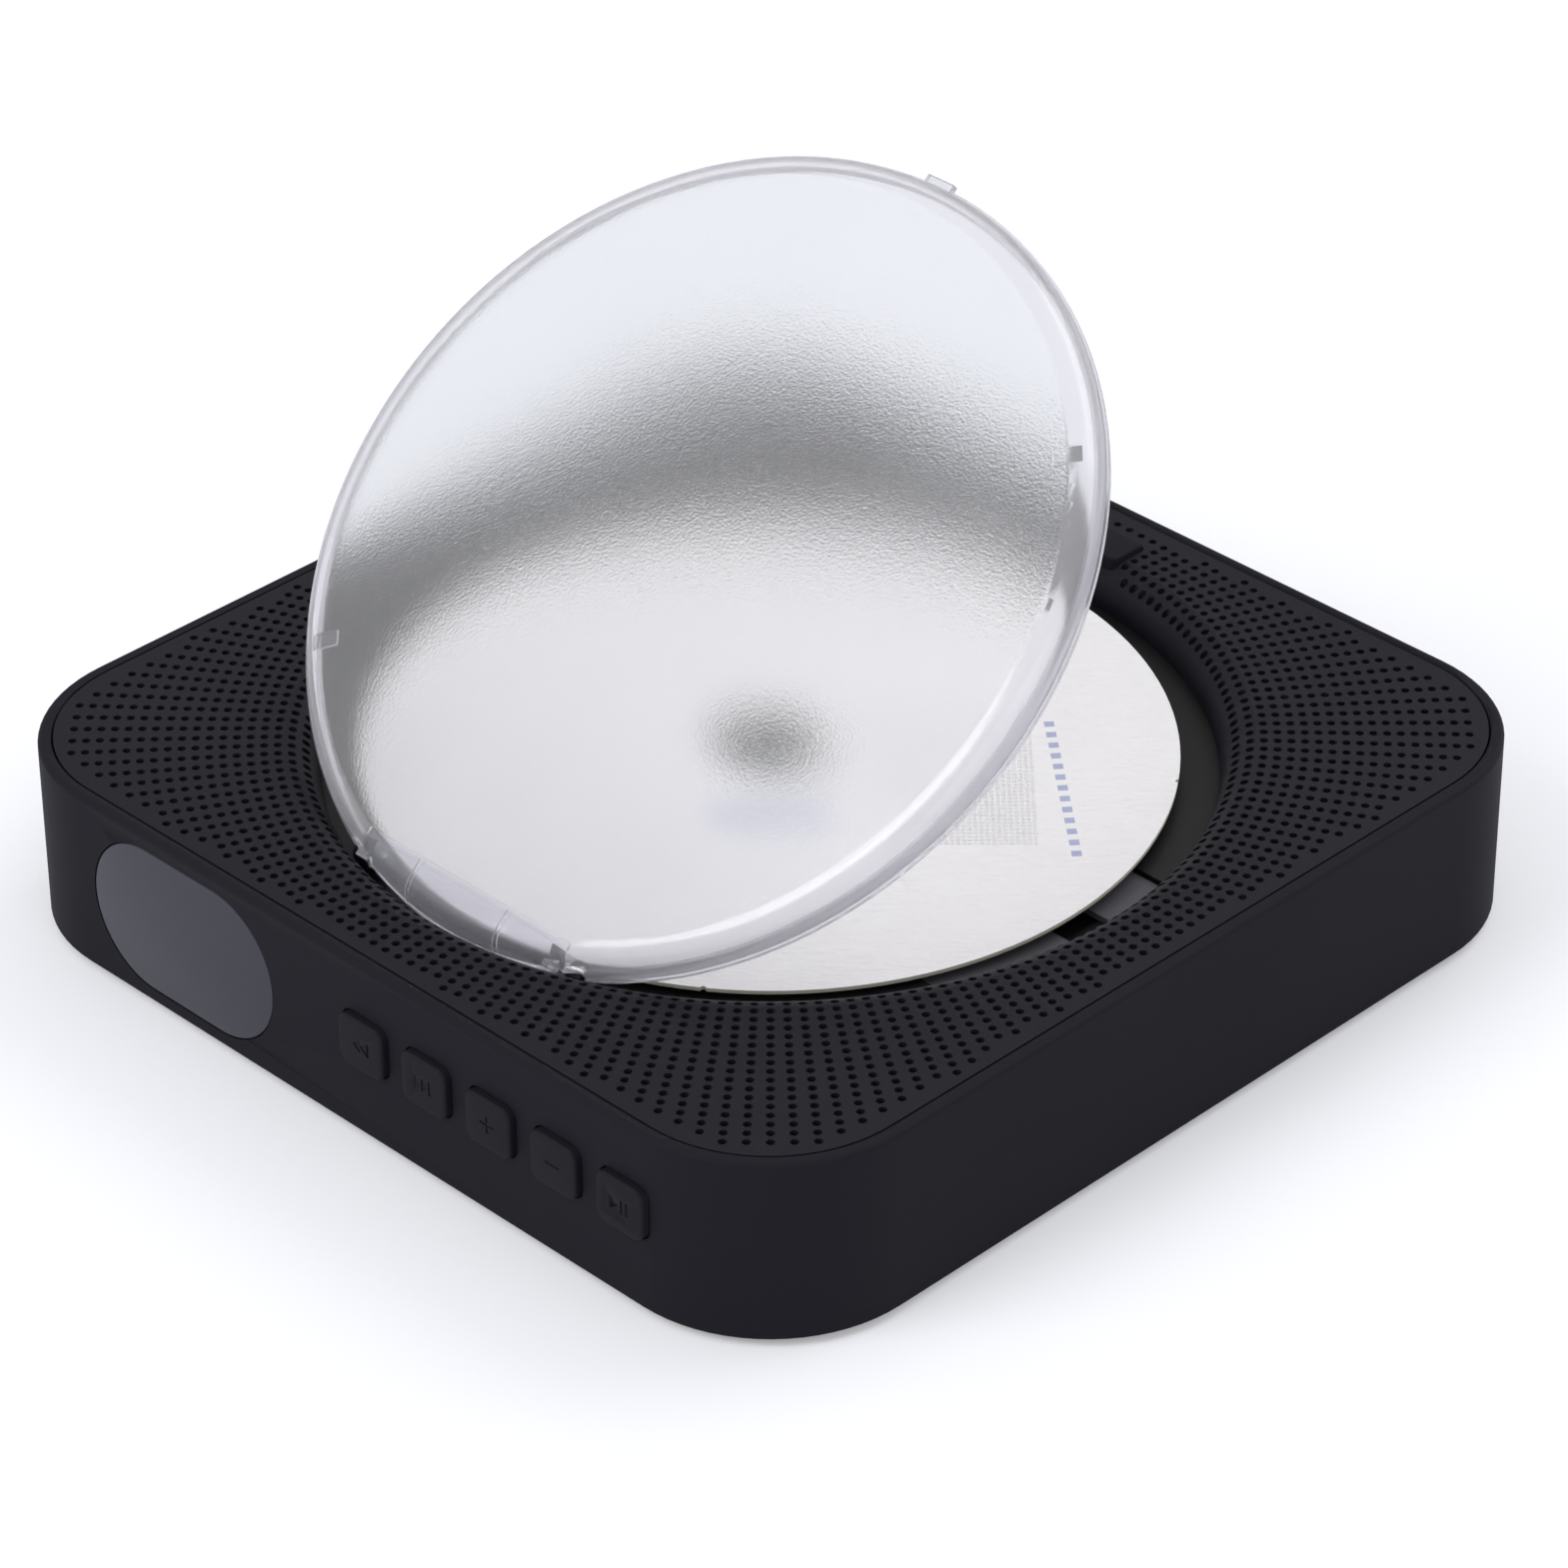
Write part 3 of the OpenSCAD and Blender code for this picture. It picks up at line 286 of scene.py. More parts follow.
def wingMaterial(name):
    material = clearMaterial(name, wingLook["colour"], wingLook["roughness"], wingLook["mottled"],
                             clear=wingLook["clear"])
    tree = material.node_tree
    inputs = tree.nodes["Principled BSDF"].inputs
    across = addNode(tree, "ShaderNodeSeparateXYZ", Vector=objectPlace(tree)).outputs[0]
    apart = calculate(tree, "ABSOLUTE", across)
    line = calculate(tree, "COMPARE", apart, wingLook["lineAt"], wingLook["lineHalf"])
    pale = mixColour(tree, line, inputs["Base Color"].links[0].from_socket, wingLook["lineColour"])
    rough = calculate(tree, "MAXIMUM", line, inputs["Roughness"].links[0].from_socket)
    linkAll(tree, inputs, {"Base Color": pale, "Roughness": rough})
    return material


# printed dashes on the packing card and a dark bluish band below its hub hole, lying level in the camera's
# view, with its pressed dots and fold (millimetres and degrees)
cardMarks = {
    "dashes": {"place": (46.0, 26.8), "turn": -40.2, "half": (21.5, 0.9)},
    # bar: a dark bluish band below the hub hole, turned level with the camera's view
    "bar": {"place": (16.8, -15.9), "turn": 46.0, "half": (10.8, 3.0)},
    "dots": {"place": (30.9, 16.1), "turn": -45.0, "half": (20.5, 13.2)},
    "fold": {"place": (42.4, -25.5), "turn": -38.0, "half": (9.0, 12.0)}}
cardInkAndBand = {"markColour": (0.42, 0.45, 0.64), "dashCount": 13.0, "dashShare": 0.5, "bandStrength": 0.9}
cardPress = {"turn": -45, "ripple": (240.0, 1100.0, 600.0),
             "rippleNoise": {"Scale": 1.0, "Detail": 3.0, "Roughness": 0.55, "Distortion": 0.6},
             "dotPitch": 1.05 * mm, "dotRange": (0.2, 0.36, 1.0, 0.0), "dotDepth": 0.5, "foldDepth": 3.0,
             "depth": 0.45 * mm}


def cardMaterial(name, colour, worn):
    material = mouldedMaterial(name, colour, worn, roughness=0.72, grain=900.0, cloud=30.0, bump=0.25,
                               depth=0.05 * mm, specular=0.25)
    tree = material.node_tree
    inputs = tree.nodes["Principled BSDF"].inputs
    patch = {key: placeGroup(tree, placedPatch, {
        "Place": (mark["place"][0] * mm, mark["place"][1] * mm, 0),
        "Turn": (0, 0, math.radians(mark["turn"])),
        "Half size": (mark["half"][0] * mm, mark["half"][1] * mm, 1)}) for key, mark in cardMarks.items()}

    step = calculate(tree, "PINGPONG", patch["dashes"]["Along"], 1.0 / cardInkAndBand["dashCount"])
    drawn = calculate(tree, "LESS_THAN", step, cardInkAndBand["dashShare"] / cardInkAndBand["dashCount"])
    dashes = calculate(tree, "MULTIPLY", drawn, patch["dashes"]["Inside"])
    # the dashes stand for printed text; the bar adds a dark bluish band below the hub hole, level in the
    # camera's view
    inkAndBand = calculate(tree, "MULTIPLY_ADD", patch["bar"]["Inside"], cardInkAndBand["bandStrength"], dashes,
                        clamp=True)
    markedColour = mixColour(tree, inkAndBand, inputs["Base Color"].links[0].from_socket, (*cardInkAndBand["markColour"], 1))

    turned = addNode(tree, "ShaderNodeMapping", {"vector_type": "POINT"}, Vector=objectPlace(tree),
                     Rotation=(0, 0, math.radians(cardPress["turn"]))).outputs[0]
    drawnOut = calculateVector(tree, "MULTIPLY", turned, cardPress["ripple"])
    ripple = addNode(tree, "ShaderNodeTexNoise", Vector=drawnOut, **cardPress["rippleNoise"]).outputs["Fac"]
    cells = addNode(tree, "ShaderNodeTexVoronoi", {"voronoi_dimensions": "2D"}, Vector=turned,
                    Scale=1.0 / cardPress["dotPitch"], Randomness=0.0)
    dot = remap(tree, cells.outputs["Distance"], *cardPress["dotRange"])
    dots = calculate(tree, "MULTIPLY", dot, patch["dots"]["Inside"])
    sunk = calculate(tree, "MULTIPLY_ADD", patch["fold"]["Border"], -cardPress["foldDepth"], ripple)
    height = calculate(tree, "MULTIPLY_ADD", dots, -cardPress["dotDepth"], sunk)
    pressed = addNode(tree, "ShaderNodeBump", Strength=1.0, Distance=cardPress["depth"], Height=height,
                      Normal=inputs["Normal"].links[0].from_socket)
    linkAll(tree, inputs, {"Base Color": markedColour, "Normal": pressed.outputs[0]})
    return material


softBlack = mouldedMaterial("softTouchBlack", (0.0092, 0.0084, 0.0132), (0.0132, 0.0124, 0.018),
                            roughness=0.6, amount=0.35, specular=0.12)
grilleBlack = mouldedMaterial("grilleBlack", (0.0085, 0.0082, 0.0132), (0.0125, 0.0122, 0.0185),
                              roughness=0.56, amount=0.35, specular=0.17)
keyBlack = mouldedMaterial("keyBlack", (0.009, 0.0083, 0.012), (0.0135, 0.0128, 0.017),
                           roughness=0.55, grain=3000.0, specular=0.14)
wellBlack = mouldedMaterial("wellBlack", (0.0045, 0.0045, 0.0055), (0.008, 0.008, 0.009),
                            roughness=0.45, specular=0.25)
plateGrey = mouldedMaterial("plateGrey", (0.085, 0.086, 0.098), (0.11, 0.11, 0.125))
smokedWindow = mouldedMaterial("smokedWindow", (0.05, 0.051, 0.066), (0.056, 0.057, 0.072),
                               roughness=0.28, grain=5200.0, bump=0.05, amount=0.25, specular=0.2)
paperWhite = cardMaterial("paperWhite", (0.88, 0.86, 0.88), (0.83, 0.81, 0.82))
paperEdge = mouldedMaterial("paperEdge", (0.72, 0.7, 0.6), (0.55, 0.52, 0.42),
                            roughness=0.85, grain=2600.0, amount=0.7)
rubberBlack = mouldedMaterial("rubberBlack", (0.012, 0.012, 0.013), (0.02, 0.02, 0.021),
                              roughness=0.75, amount=0.4)
feltBlack = mouldedMaterial("feltBlack", (0.004, 0.004, 0.0045), (0.008, 0.008, 0.009),
                            roughness=0.95, grain=1500.0, bump=0.6)
boardGreen = mouldedMaterial("boardGreen", (0.008, 0.07, 0.03), (0.015, 0.11, 0.05),
                             roughness=0.3, grain=900.0)
chipBlack = mouldedMaterial("chipBlack", (0.01, 0.01, 0.011), (0.018, 0.018, 0.02))
wrapBlue = mouldedMaterial("wrapBlue", (0.02, 0.06, 0.22), (0.03, 0.09, 0.28), roughness=0.3)
coneBlack = mouldedMaterial("coneBlack", (0.012, 0.012, 0.013), (0.03, 0.03, 0.032),
                            roughness=0.8, grain=1200.0, bump=0.5)
gearWhite = mouldedMaterial("gearWhite", (0.72, 0.71, 0.66), (0.66, 0.65, 0.6), roughness=0.35)
lensBlue = clearMaterial("lensBlue", (0.45, 0.6, 0.85), 0.03, (0.4, 0.55, 0.8))
steelBright = metalMaterial("steelBright", (0.42, 0.42, 0.44), (0.68, 0.68, 0.7))
zincDull = metalMaterial("zincDull", (0.35, 0.35, 0.37), (0.55, 0.55, 0.57),
                         roughness=0.4, stretch=(600.0, 600.0, 600.0))
clearRim = clearMaterial("clearRim", (0.93, 0.925, 0.965), 0.12, (0.9, 0.895, 0.94), clear=0.82)
clearWing = wingMaterial("clearWing")
clearSkirt = clearMaterial("clearSkirt", (0.74, 0.73, 0.78), 0.16, (0.68, 0.67, 0.72), clear=0.6)
frostedPanel = clearMaterial("frostedPanel", (0.975, 0.985, 1.0), 0.17, (0.945, 0.955, 0.985),
                             grain=1900.0, bump=1.0, depth=0.07 * mm, clear=0.93)

print("stage 2: the finishes are made")


# helpers for pieces: three distances, three angles, the z of a normal below which a face is a wall, and
# how far off a quarter's seam a face may lie, as a share of a quarter turn
meshing = {"weld": 0.002 * mm, "near": 0.01 * mm, "snap": 0.0001 * mm,
           "flatWithin": math.radians(0.5), "edgeFrom": 0.6, "smoothTo": math.radians(32),
           "wallBelow": 0.5, "seamWithin": 1e-5}


def meshFrom(shape, name):
    mesh = bpy.data.meshes.new(name)
    shape.to_mesh(mesh)
    shape.free()
    return mesh


def finishMesh(mesh, smoothTo=meshing["smoothTo"]):
    mesh.polygons.foreach_set("use_smooth", [True] * len(mesh.polygons))
    mesh.set_sharp_from_angle(angle=smoothTo)
    mesh.update()


def addObject(name, data):
    made = bpy.data.objects.new(name, data)
    bpy.context.scene.collection.objects.link(made)
    return made


def evaluatedMesh(made):
    return bpy.data.meshes.new_from_object(made.evaluated_get(bpy.context.evaluated_depsgraph_get()))


def addPiece(name, mesh, materials, body, standsFor):
    piece = addObject(name, mesh)
    chosen = [face.material_index for face in mesh.polygons]  # clear() sets them all to 0
    mesh.materials.clear()
    for material in materials:
        mesh.materials.append(material)
    mesh.polygons.foreach_set("material_index", chosen)
    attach(piece, body)
    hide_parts(standsFor)


def mergedCopy(nodeName):
    shape = bmesh.new()
    shape.from_mesh(nodes[nodeName].data)
    bmesh.ops.remove_doubles(shape, verts=shape.verts, dist=meshing["weld"])
    return shape


def joinFlatFaces(shape):
    bmesh.ops.dissolve_limit(shape, angle_limit=meshing["flatWithin"], verts=shape.verts, edges=shape.edges,
                             delimit={"NORMAL"})


def roundEdges(shape, edges, width, steps):
    bmesh.ops.bevel(shape, geom=edges, offset=width, segments=steps, profile=0.5, affect="EDGES",
                    clamp_overlap=True)


def isEdge(edge):
    return len(edge.link_faces) == 2 and edge.calc_face_angle() > meshing["edgeFrom"]


def raisePrism(shape, outline, rise):
    base = shape.faces.new([shape.verts.new(point) for point in outline])
    grown = bmesh.ops.extrude_face_region(shape, geom=[base])["geom"]
    bmesh.ops.translate(shape, verts=[g for g in grown if isinstance(g, bmesh.types.BMVert)], vec=rise)


def cutAway(mesh, toolShape):
    bmesh.ops.recalc_face_normals(toolShape, faces=toolShape.faces)
    carrier = addObject("cutCarrier", mesh)
    cutter = addObject("cutTool", meshFrom(toolShape, "cutTool"))
    cut = carrier.modifiers.new("cut", "BOOLEAN")
    cut.object = cutter
    cut.operation = "DIFFERENCE"
    cut.solver = "EXACT"
    result = evaluatedMesh(carrier)
    bpy.data.objects.remove(carrier)
    bpy.data.objects.remove(cutter)
    return result


def dressNode(nodeName, pieceName, materials, chooseFace=None, softEdge=None, reshape=None):
    shape = mergedCopy(nodeName)
    if reshape:
        reshape(shape)
    joinFlatFaces(shape)
    if softEdge:
        chosen = [e for e in shape.edges if isEdge(e) and all(softEdge["where"](v.co) for v in e.verts)]
        roundEdges(shape, chosen, softEdge["width"], softEdge["steps"])
    mesh = meshFrom(shape, pieceName)
    finishMesh(mesh)
    if chooseFace:
        for face in mesh.polygons:
            face.material_index = chooseFace(face.normal)
    addPiece(pieceName, mesh, materials, nodes[nodeName]["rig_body"], nodeName)


def dressPlain(nodeName, material):
    mesh = nodes[nodeName].data
    mesh.materials.clear()
    mesh.materials.append(material)


# perforated grille: rings of holes round the well, through a flat deck and a round lip
# each hole of the lip has a square cell with cellSteps steps a side, so a hole's edge has four times as many
grille = {"columns": 200, "ringPitch": 2.43 * mm, "ringOffset": 0.024 * mm, "firstRing": 34, "flatRing": 36,
          "lastRing": 52, "holeRadius": 0.775 * mm, "cellSteps": 3, "lipSteps": 8, "outlineSteps": 96,
          "half": 98.2 * mm, "corner": 27.2 * mm, "border": 2.3 * mm, "skin": 1.6 * mm,
          "wellRadius": 80 * mm, "lipRadius": 7 * mm, "wellDepth": 8 * mm, "smoothTo": math.radians(30)}
# the opening for the release pad, in the grille's border on the far side
padHole = {"half": (6.8 * mm, 4.5 * mm), "corner": 1.3 * mm, "cornerSteps": 6, "place": 87.4 * mm,
           "border": 1.1 * mm, "cutFrom": deckTop - 12 * mm, "cutRise": 20 * mm}


def ringRadius(step):
    return grille["ringOffset"] + step * grille["ringPitch"]


def lipHeight(radius, thick=0.0):
    reach = grille["wellRadius"] + grille["lipRadius"] - radius
    curve = grille["lipRadius"] - thick
    if reach <= 0:
        return -thick
    return math.sqrt(max(curve * curve - reach * reach, 0)) - grille["lipRadius"]


def nearPad(x, y):
    width, height = (v + padHole["border"] for v in padHole["half"])
    return abs(x) < width and abs(y - padHole["place"]) < height


def padLoop():
    width, height = padHole["half"]
    corner, points = padHole["corner"], []
    for sx, sy, first in ((1, 1, 0), (-1, 1, 90), (-1, -1, 180), (1, -1, 270)):
        for step in range(padHole["cornerSteps"] + 1):
            angle = math.radians(first + 90 / padHole["cornerSteps"] * step)
            points.append((sx * (width - corner) + corner * math.cos(angle),
                           padHole["place"] + sy * (height - corner) + corner * math.sin(angle)))
    return points


def buildLip():
    shape = bmesh.new()
    columns, cellSteps = grille["columns"], grille["cellSteps"]
    well, lip, skin = grille["wellRadius"], grille["lipRadius"], grille["skin"]
    around = columns * cellSteps
    rings = [ringRadius(grille["firstRing"] - 0.5 + k) for k in range(3)]

    def loop(radius, height):
        turns = [(i - cellSteps / 2) * (2 * math.pi / around) for i in range(around)]
        return [shape.verts.new((radius * math.cos(turn), radius * math.sin(turn), deckTop + height))
                for turn in turns]

    def strip(a, b):
        for i in range(len(a)):
            j = (i + 1) % len(a)
            shape.faces.new((a[i], a[j], b[j], b[i]))

    upper = [loop(well, -grille["wellDepth"]), loop(well, -lip)]
    endAngle = math.acos((well + lip - rings[0]) / lip)
    for step in range(1, grille["lipSteps"] + 1):
        angle = endAngle * step / grille["lipSteps"]
        upper.append(loop(well + lip - lip * math.cos(angle), -lip + lip * math.sin(angle)))
    for a, b in zip(upper, upper[1:]):
        strip(a, b)
    lower = [loop(well + skin, -grille["wellDepth"]), loop(well + skin, -lip)]
    strip(lower[1], lower[0])
    strip(lower[0], upper[0])
    lowStart = lower[1]
    if rings[0] > well + skin:
        lowStart = loop(rings[0], lipHeight(rings[0], skin))
        strip(lowStart, lower[1])
    topEdge, lowEdge = upper[-1], lowStart

    for ring in (0, 1):
        inner, outer = rings[ring], rings[ring + 1]
        middle = ringRadius(grille["firstRing"] + ring)
        topOuter, lowOuter = loop(outer, lipHeight(outer)), loop(outer, lipHeight(outer, skin))
        sides = {}

        def sidePoints(column, thick):
            key = (column % columns, thick)
            if key not in sides:
                turn = 2 * math.pi * (column - 0.5) / columns
                radii = [inner + k * (outer - inner) / cellSteps for k in range(1, cellSteps)]
                sides[key] = [shape.verts.new((r * math.cos(turn), r * math.sin(turn),
                                               deckTop + lipHeight(r, thick))) for r in radii]
            return sides[key]

        for column in range(columns):
            turn = 2 * math.pi * column / columns
            centreX, centreY = middle * math.cos(turn), middle * math.sin(turn)
            walls = []
            for thick, start, stop in ((0.0, topEdge, topOuter), (skin, lowEdge, lowOuter)):
                near, far = sidePoints(column, thick), sidePoints(column + 1, thick)
                spots = [(column * cellSteps + k) % around for k in range(cellSteps + 1)]
                border = [start[i] for i in spots] + far + [stop[i] for i in spots[::-1]] + near[::-1]
                hole = []
                for point in border:
                    spin = math.atan2(point.co.y - centreY, point.co.x - centreX)
                    x = centreX + grille["holeRadius"] * math.cos(spin)
                    y = centreY + grille["holeRadius"] * math.sin(spin)
                    hole.append(shape.verts.new((x, y, deckTop + lipHeight(math.hypot(x, y), thick))))
                strip(*((border, hole) if thick == 0 else (hole, border)))
                walls.append(hole)
            if nearPad(centreX, centreY):
                shape.faces.new(walls[0])
                shape.faces.new(walls[1])
            else:
                strip(walls[0], walls[1])
        topEdge, lowEdge = topOuter, lowOuter
    strip(topEdge, lowEdge)
    bmesh.ops.recalc_face_normals(shape, faces=shape.faces)
    return meshFrom(shape, "lipShape")


def cutPadHole(mesh):
    tool = bmesh.new()
    raisePrism(tool, [(x, y, padHole["cutFrom"]) for x, y in padLoop()], (0, 0, padHole["cutRise"]))
    return cutAway(mesh, tool)


def outlineReach(angle):
    straight, corner = grille["half"] - grille["corner"], grille["corner"]
    x, y = abs(math.cos(angle)), abs(math.sin(angle))
    if min(x, y) / max(x, y) * grille["half"] <= straight:
        return grille["half"] / max(x, y)
    along = straight * (x + y)
    return along + math.sqrt(corner * corner - 2 * straight * straight + along * along)


def quarterOutline(withPad):
    shape = bmesh.new()
    around = grille["columns"] * grille["cellSteps"]
    reach = around // 8
    radius, edge = ringRadius(grille["flatRing"] - 0.5), padHole["half"][0]
    meet = math.asin(edge / radius) if withPad else 0.0
    turns = [(i - grille["cellSteps"] / 2) * (2 * math.pi / around) for i in range(-reach, reach + 1)]
    points = [(radius * math.cos(a), radius * math.sin(a)) for a in turns if a < -meet]
    if withPad:
        flat = radius * math.cos(meet)
        points.append((flat, -edge))
        points += [(y, -x) for x, y in padLoop() if math.hypot(x, y) > radius]
        points.append((flat, edge))
    points += [(radius * math.cos(a), radius * math.sin(a)) for a in turns if a > meet]
    first, last = turns[0], turns[-1]
    for k in range(grille["outlineSteps"] + 1):
        angle = last + (first - last) * k / grille["outlineSteps"]
        far = outlineReach(angle)
        points.append((far * math.cos(angle), far * math.sin(angle)))
    verts = [shape.verts.new((x, y, 0)) for x, y in points]
    for a, b in zip(verts, verts[1:] + verts[:1]):
        shape.edges.new((a, b))
    return meshFrom(shape, "quarterOutline")


def perforationTree():
    tree = bpy.data.node_groups.new("perforations", "GeometryNodeTree")
    tree.interface.new_socket("Geometry", in_out="INPUT", socket_type="NodeSocketGeometry")
    tree.interface.new_socket("Geometry", in_out="OUTPUT", socket_type="NodeSocketGeometry")
    made = grille["columns"] // 4
    padHalf = [v + padHole["border"] for v in padHole["half"]]
    wanted = [("Columns", "NodeSocketInt", grille["columns"]),
              ("Columns made", "NodeSocketInt", made),
              ("First column", "NodeSocketInt", -made // 2),
              ("Rings", "NodeSocketInt", grille["lastRing"] - grille["flatRing"] + 1),
              ("First ring", "NodeSocketInt", grille["flatRing"]),
              ("Ring pitch", "NodeSocketFloat", grille["ringPitch"]),
              ("Ring offset", "NodeSocketFloat", grille["ringOffset"]),
              ("Hole radius", "NodeSocketFloat", grille["holeRadius"]),
              ("Half width", "NodeSocketFloat", grille["half"]),
              ("Corner radius", "NodeSocketFloat", grille["corner"]),
              ("Border", "NodeSocketFloat", grille["border"]),
              ("Skin", "NodeSocketFloat", grille["skin"]),
              ("Level", "NodeSocketFloat", deckTop),
              ("Pad place", "NodeSocketVector", (padHole["place"], 0, 0)),
              ("Pad half", "NodeSocketVector", (padHalf[1], padHalf[0], 1)),
              ("Material", "NodeSocketMaterial", None)]
    for label, kind, value in wanted:
        socket = tree.interface.new_socket(label, in_out="INPUT", socket_type=kind)
        if value is not None:
            socket.default_value = value
    given, end = tree.nodes.new("NodeGroupInput").outputs, tree.nodes.new("NodeGroupOutput")

    def calc(operation, *values):
        return calculate(tree, operation, *values)

    def vector(operation, *values):
        return calculateVector(tree, operation, *values)

    def make(kind, settings=None, **values):
        return addNode(tree, kind, settings, **values).outputs[0]

    def join(*parts):
        node = tree.nodes.new("GeometryNodeJoinGeometry")
        for part in parts:
            tree.links.new(part, node.inputs[0])
        return node.outputs[0]

    # one point for each hole of a quarter
    index = make("GeometryNodeInputIndex")
    ring = calc("FLOOR", calc("DIVIDE", calc("ADD", index, 0.5), given["Columns made"]))
    inRing = calc("SUBTRACT", index, calc("MULTIPLY", ring, given["Columns made"]))
    column = calc("ADD", inRing, given["First column"])
    steps = calc("MULTIPLY", calc("ADD", ring, given["First ring"]), given["Ring pitch"])
    radius = calc("ADD", steps, given["Ring offset"])
    turn = calc("DIVIDE", calc("MULTIPLY", column, 2 * math.pi), given["Columns"])
    spot = make("ShaderNodeCombineXYZ", X=calc("MULTIPLY", radius, calc("COSINE", turn)),
                Y=calc("MULTIPLY", radius, calc("SINE", turn)))
    count = calc("MULTIPLY", given["Columns made"], given["Rings"])
    points = make("GeometryNodePoints", Count=count, Position=spot)

    # points past the border or on the pad go
    here = make("GeometryNodeInputPosition")
    inset = calc("SUBTRACT", given["Half width"], given["Corner radius"])
    insetVector = make("ShaderNodeCombineXYZ", X=inset, Y=inset)
    pastInset = vector("MAXIMUM", vector("SUBTRACT", vector("ABSOLUTE", here), insetVector), (0, 0, 0))
    room = calc("SUBTRACT", given["Corner radius"], given["Border"])
    outside = calc("GREATER_THAN", vector("LENGTH", pastInset), room)
    padAway = vector("ABSOLUTE", vector("SUBTRACT", here, given["Pad place"]))
    fromPad = vector("SUBTRACT", given["Pad half"], padAway)
    split = addNode(tree, "ShaderNodeSeparateXYZ", Vector=fromPad).outputs
    onPad = calc("GREATER_THAN", calc("MINIMUM", split[0], split[1]), 0.0)
    kept = make("GeometryNodeDeleteGeometry", {"domain": "POINT"}, Geometry=points,
                Selection=calc("MAXIMUM", outside, onPad))

    # a circle on each point, filled with the outline and raised to the skin's thickness
    circle = make("GeometryNodeCurvePrimitiveCircle", {"mode": "RADIUS"}, Resolution=4 * grille["cellSteps"],
                  Radius=given["Hole radius"])
    rings = make("GeometryNodeInstanceOnPoints", Points=kept, Instance=circle)
    realRings = make("GeometryNodeRealizeInstances", Geometry=rings)
    border = make("GeometryNodeMeshToCurve", Mesh=given["Geometry"])
    fill = make("GeometryNodeFillCurve", {"mode": "TRIANGLES"}, Curve=join(realRings, border))
    lift = make("ShaderNodeCombineXYZ", Z=calc("SUBTRACT", given["Level"], given["Skin"]))
    sheet = make("GeometryNodeSetPosition", Geometry=fill, Offset=lift)
    rise = make("ShaderNodeCombineXYZ", Z=given["Skin"])
    grown = make("GeometryNodeExtrudeMesh", {"mode": "FACES"}, Mesh=sheet, Offset=rise, Individual=False,
                 **{"Offset Scale": 1.0})
    whole = join(grown, make("GeometryNodeFlipFaces", Mesh=sheet))
    welded = make("GeometryNodeMergeByDistance", Geometry=whole, Distance=meshing["weld"])
    real = make("GeometryNodeRealizeInstances", Geometry=welded)
    painted = make("GeometryNodeSetMaterial", Geometry=real, Material=given["Material"])
    tree.links.new(painted, end.inputs[0])
    return tree


def bakeTree(carrierMesh, tree, values):
    carrier = addObject("treeCarrier", carrierMesh)
    modifier = carrier.modifiers.new("tree", "NODES")
    modifier.node_group = tree
    for item in tree.interface.items_tree:
        if item.item_type == "SOCKET" and item.in_out == "INPUT" and item.name in values:
            modifier[item.identifier] = values[item.name]
    result = evaluatedMesh(carrier)
    carrier.modifiers.clear()
    bpy.data.objects.remove(carrier)
    return result


def onSeam(face):
    seam = math.radians(360 / grille["columns"]) * (grille["columns"] // 8 - 0.5)
    quarters = [(math.atan2(v.co.y, v.co.x) - seam) / (math.pi / 2) for v in face.verts]
    return all(abs((q + 0.5) % 1 - 0.5) < meshing["seamWithin"] for q in quarters)


def buildGrille():
    tree = perforationTree()
    plain = bakeTree(quarterOutline(False), tree, {"Material": grilleBlack, "Pad half": (0.0, 0.0, 0.0)})
    padded = bakeTree(quarterOutline(True), tree, {"Material": grilleBlack})
    shape = bmesh.new()
    for quarter, source in enumerate((plain, padded, plain, plain)):
        part = source.copy()
        part.transform(Matrix.Rotation(quarter * math.pi / 2, 4, "Z"))
        shape.from_mesh(part)
        bpy.data.meshes.remove(part)
    seamWalls = [f for f in shape.faces if abs(f.normal.z) < meshing["wallBelow"] and onSeam(f)]
    bmesh.ops.delete(shape, geom=seamWalls, context="FACES_ONLY")
    bmesh.ops.remove_doubles(shape, verts=shape.verts, dist=meshing["weld"])
    lip = bmesh.new()
    lip.from_mesh(cutPadHole(buildLip()))
    bmesh.ops.triangulate(lip, faces=[f for f in lip.faces if len(f.verts) > 4])
    shape.from_mesh(meshFrom(lip, "lipPart"))
    bmesh.ops.recalc_face_normals(shape, faces=shape.faces)
    print("   grille faces:", len(shape.faces))
    mesh = meshFrom(shape, "grille_panel_perforated")
    finishMesh(mesh, grille["smoothTo"])
    mesh.polygons.foreach_set("material_index", [0] * len(mesh.polygons))
    addPiece("grille_panel_perforated", mesh, [grilleBlack], "housing", "grille_panel")


buildGrille()
print("stage 3: the grille is made")


# lid: frosted panel, clear rim, skirt and hinge wing in one moulding, shaped while closed
lidShape = {"hinge": Vector((0, -72 * mm, deckTop - 5.2 * mm)), "open": math.radians(40),
            "wingEdge": -69 * mm, "wingHalf": 25 * mm, "rimFrom": 75.5 * mm, "rimEdge": 0.16 * mm,
            "rimSteps": 2, "panelTo": 73 * mm, "panelDepth": 1.2 * mm, "skirtFrom": 74 * mm,
            "smoothTo": math.radians(30)}
lidFaces = {"flat": 0.99995, "panel": 0.999, "skirt": 0.4}  # how upright a normal is on each kind of face


def lidMaterial(face, mesh):
    spot = face.center
    if spot.y < lidShape["wingEdge"] and abs(spot.x) < lidShape["wingHalf"]:
        return 3
    upright = abs(face.normal.z)
    inside = all(mesh.vertices[v].co.xy.length < lidShape["panelTo"] for v in face.vertices)
    if upright > lidFaces["panel"] and spot.z > deckTop - lidShape["panelDepth"] and inside:
        return 1
    return 2 if upright < lidFaces["skirt"] and spot.xy.length > lidShape["skirtFrom"] else 0


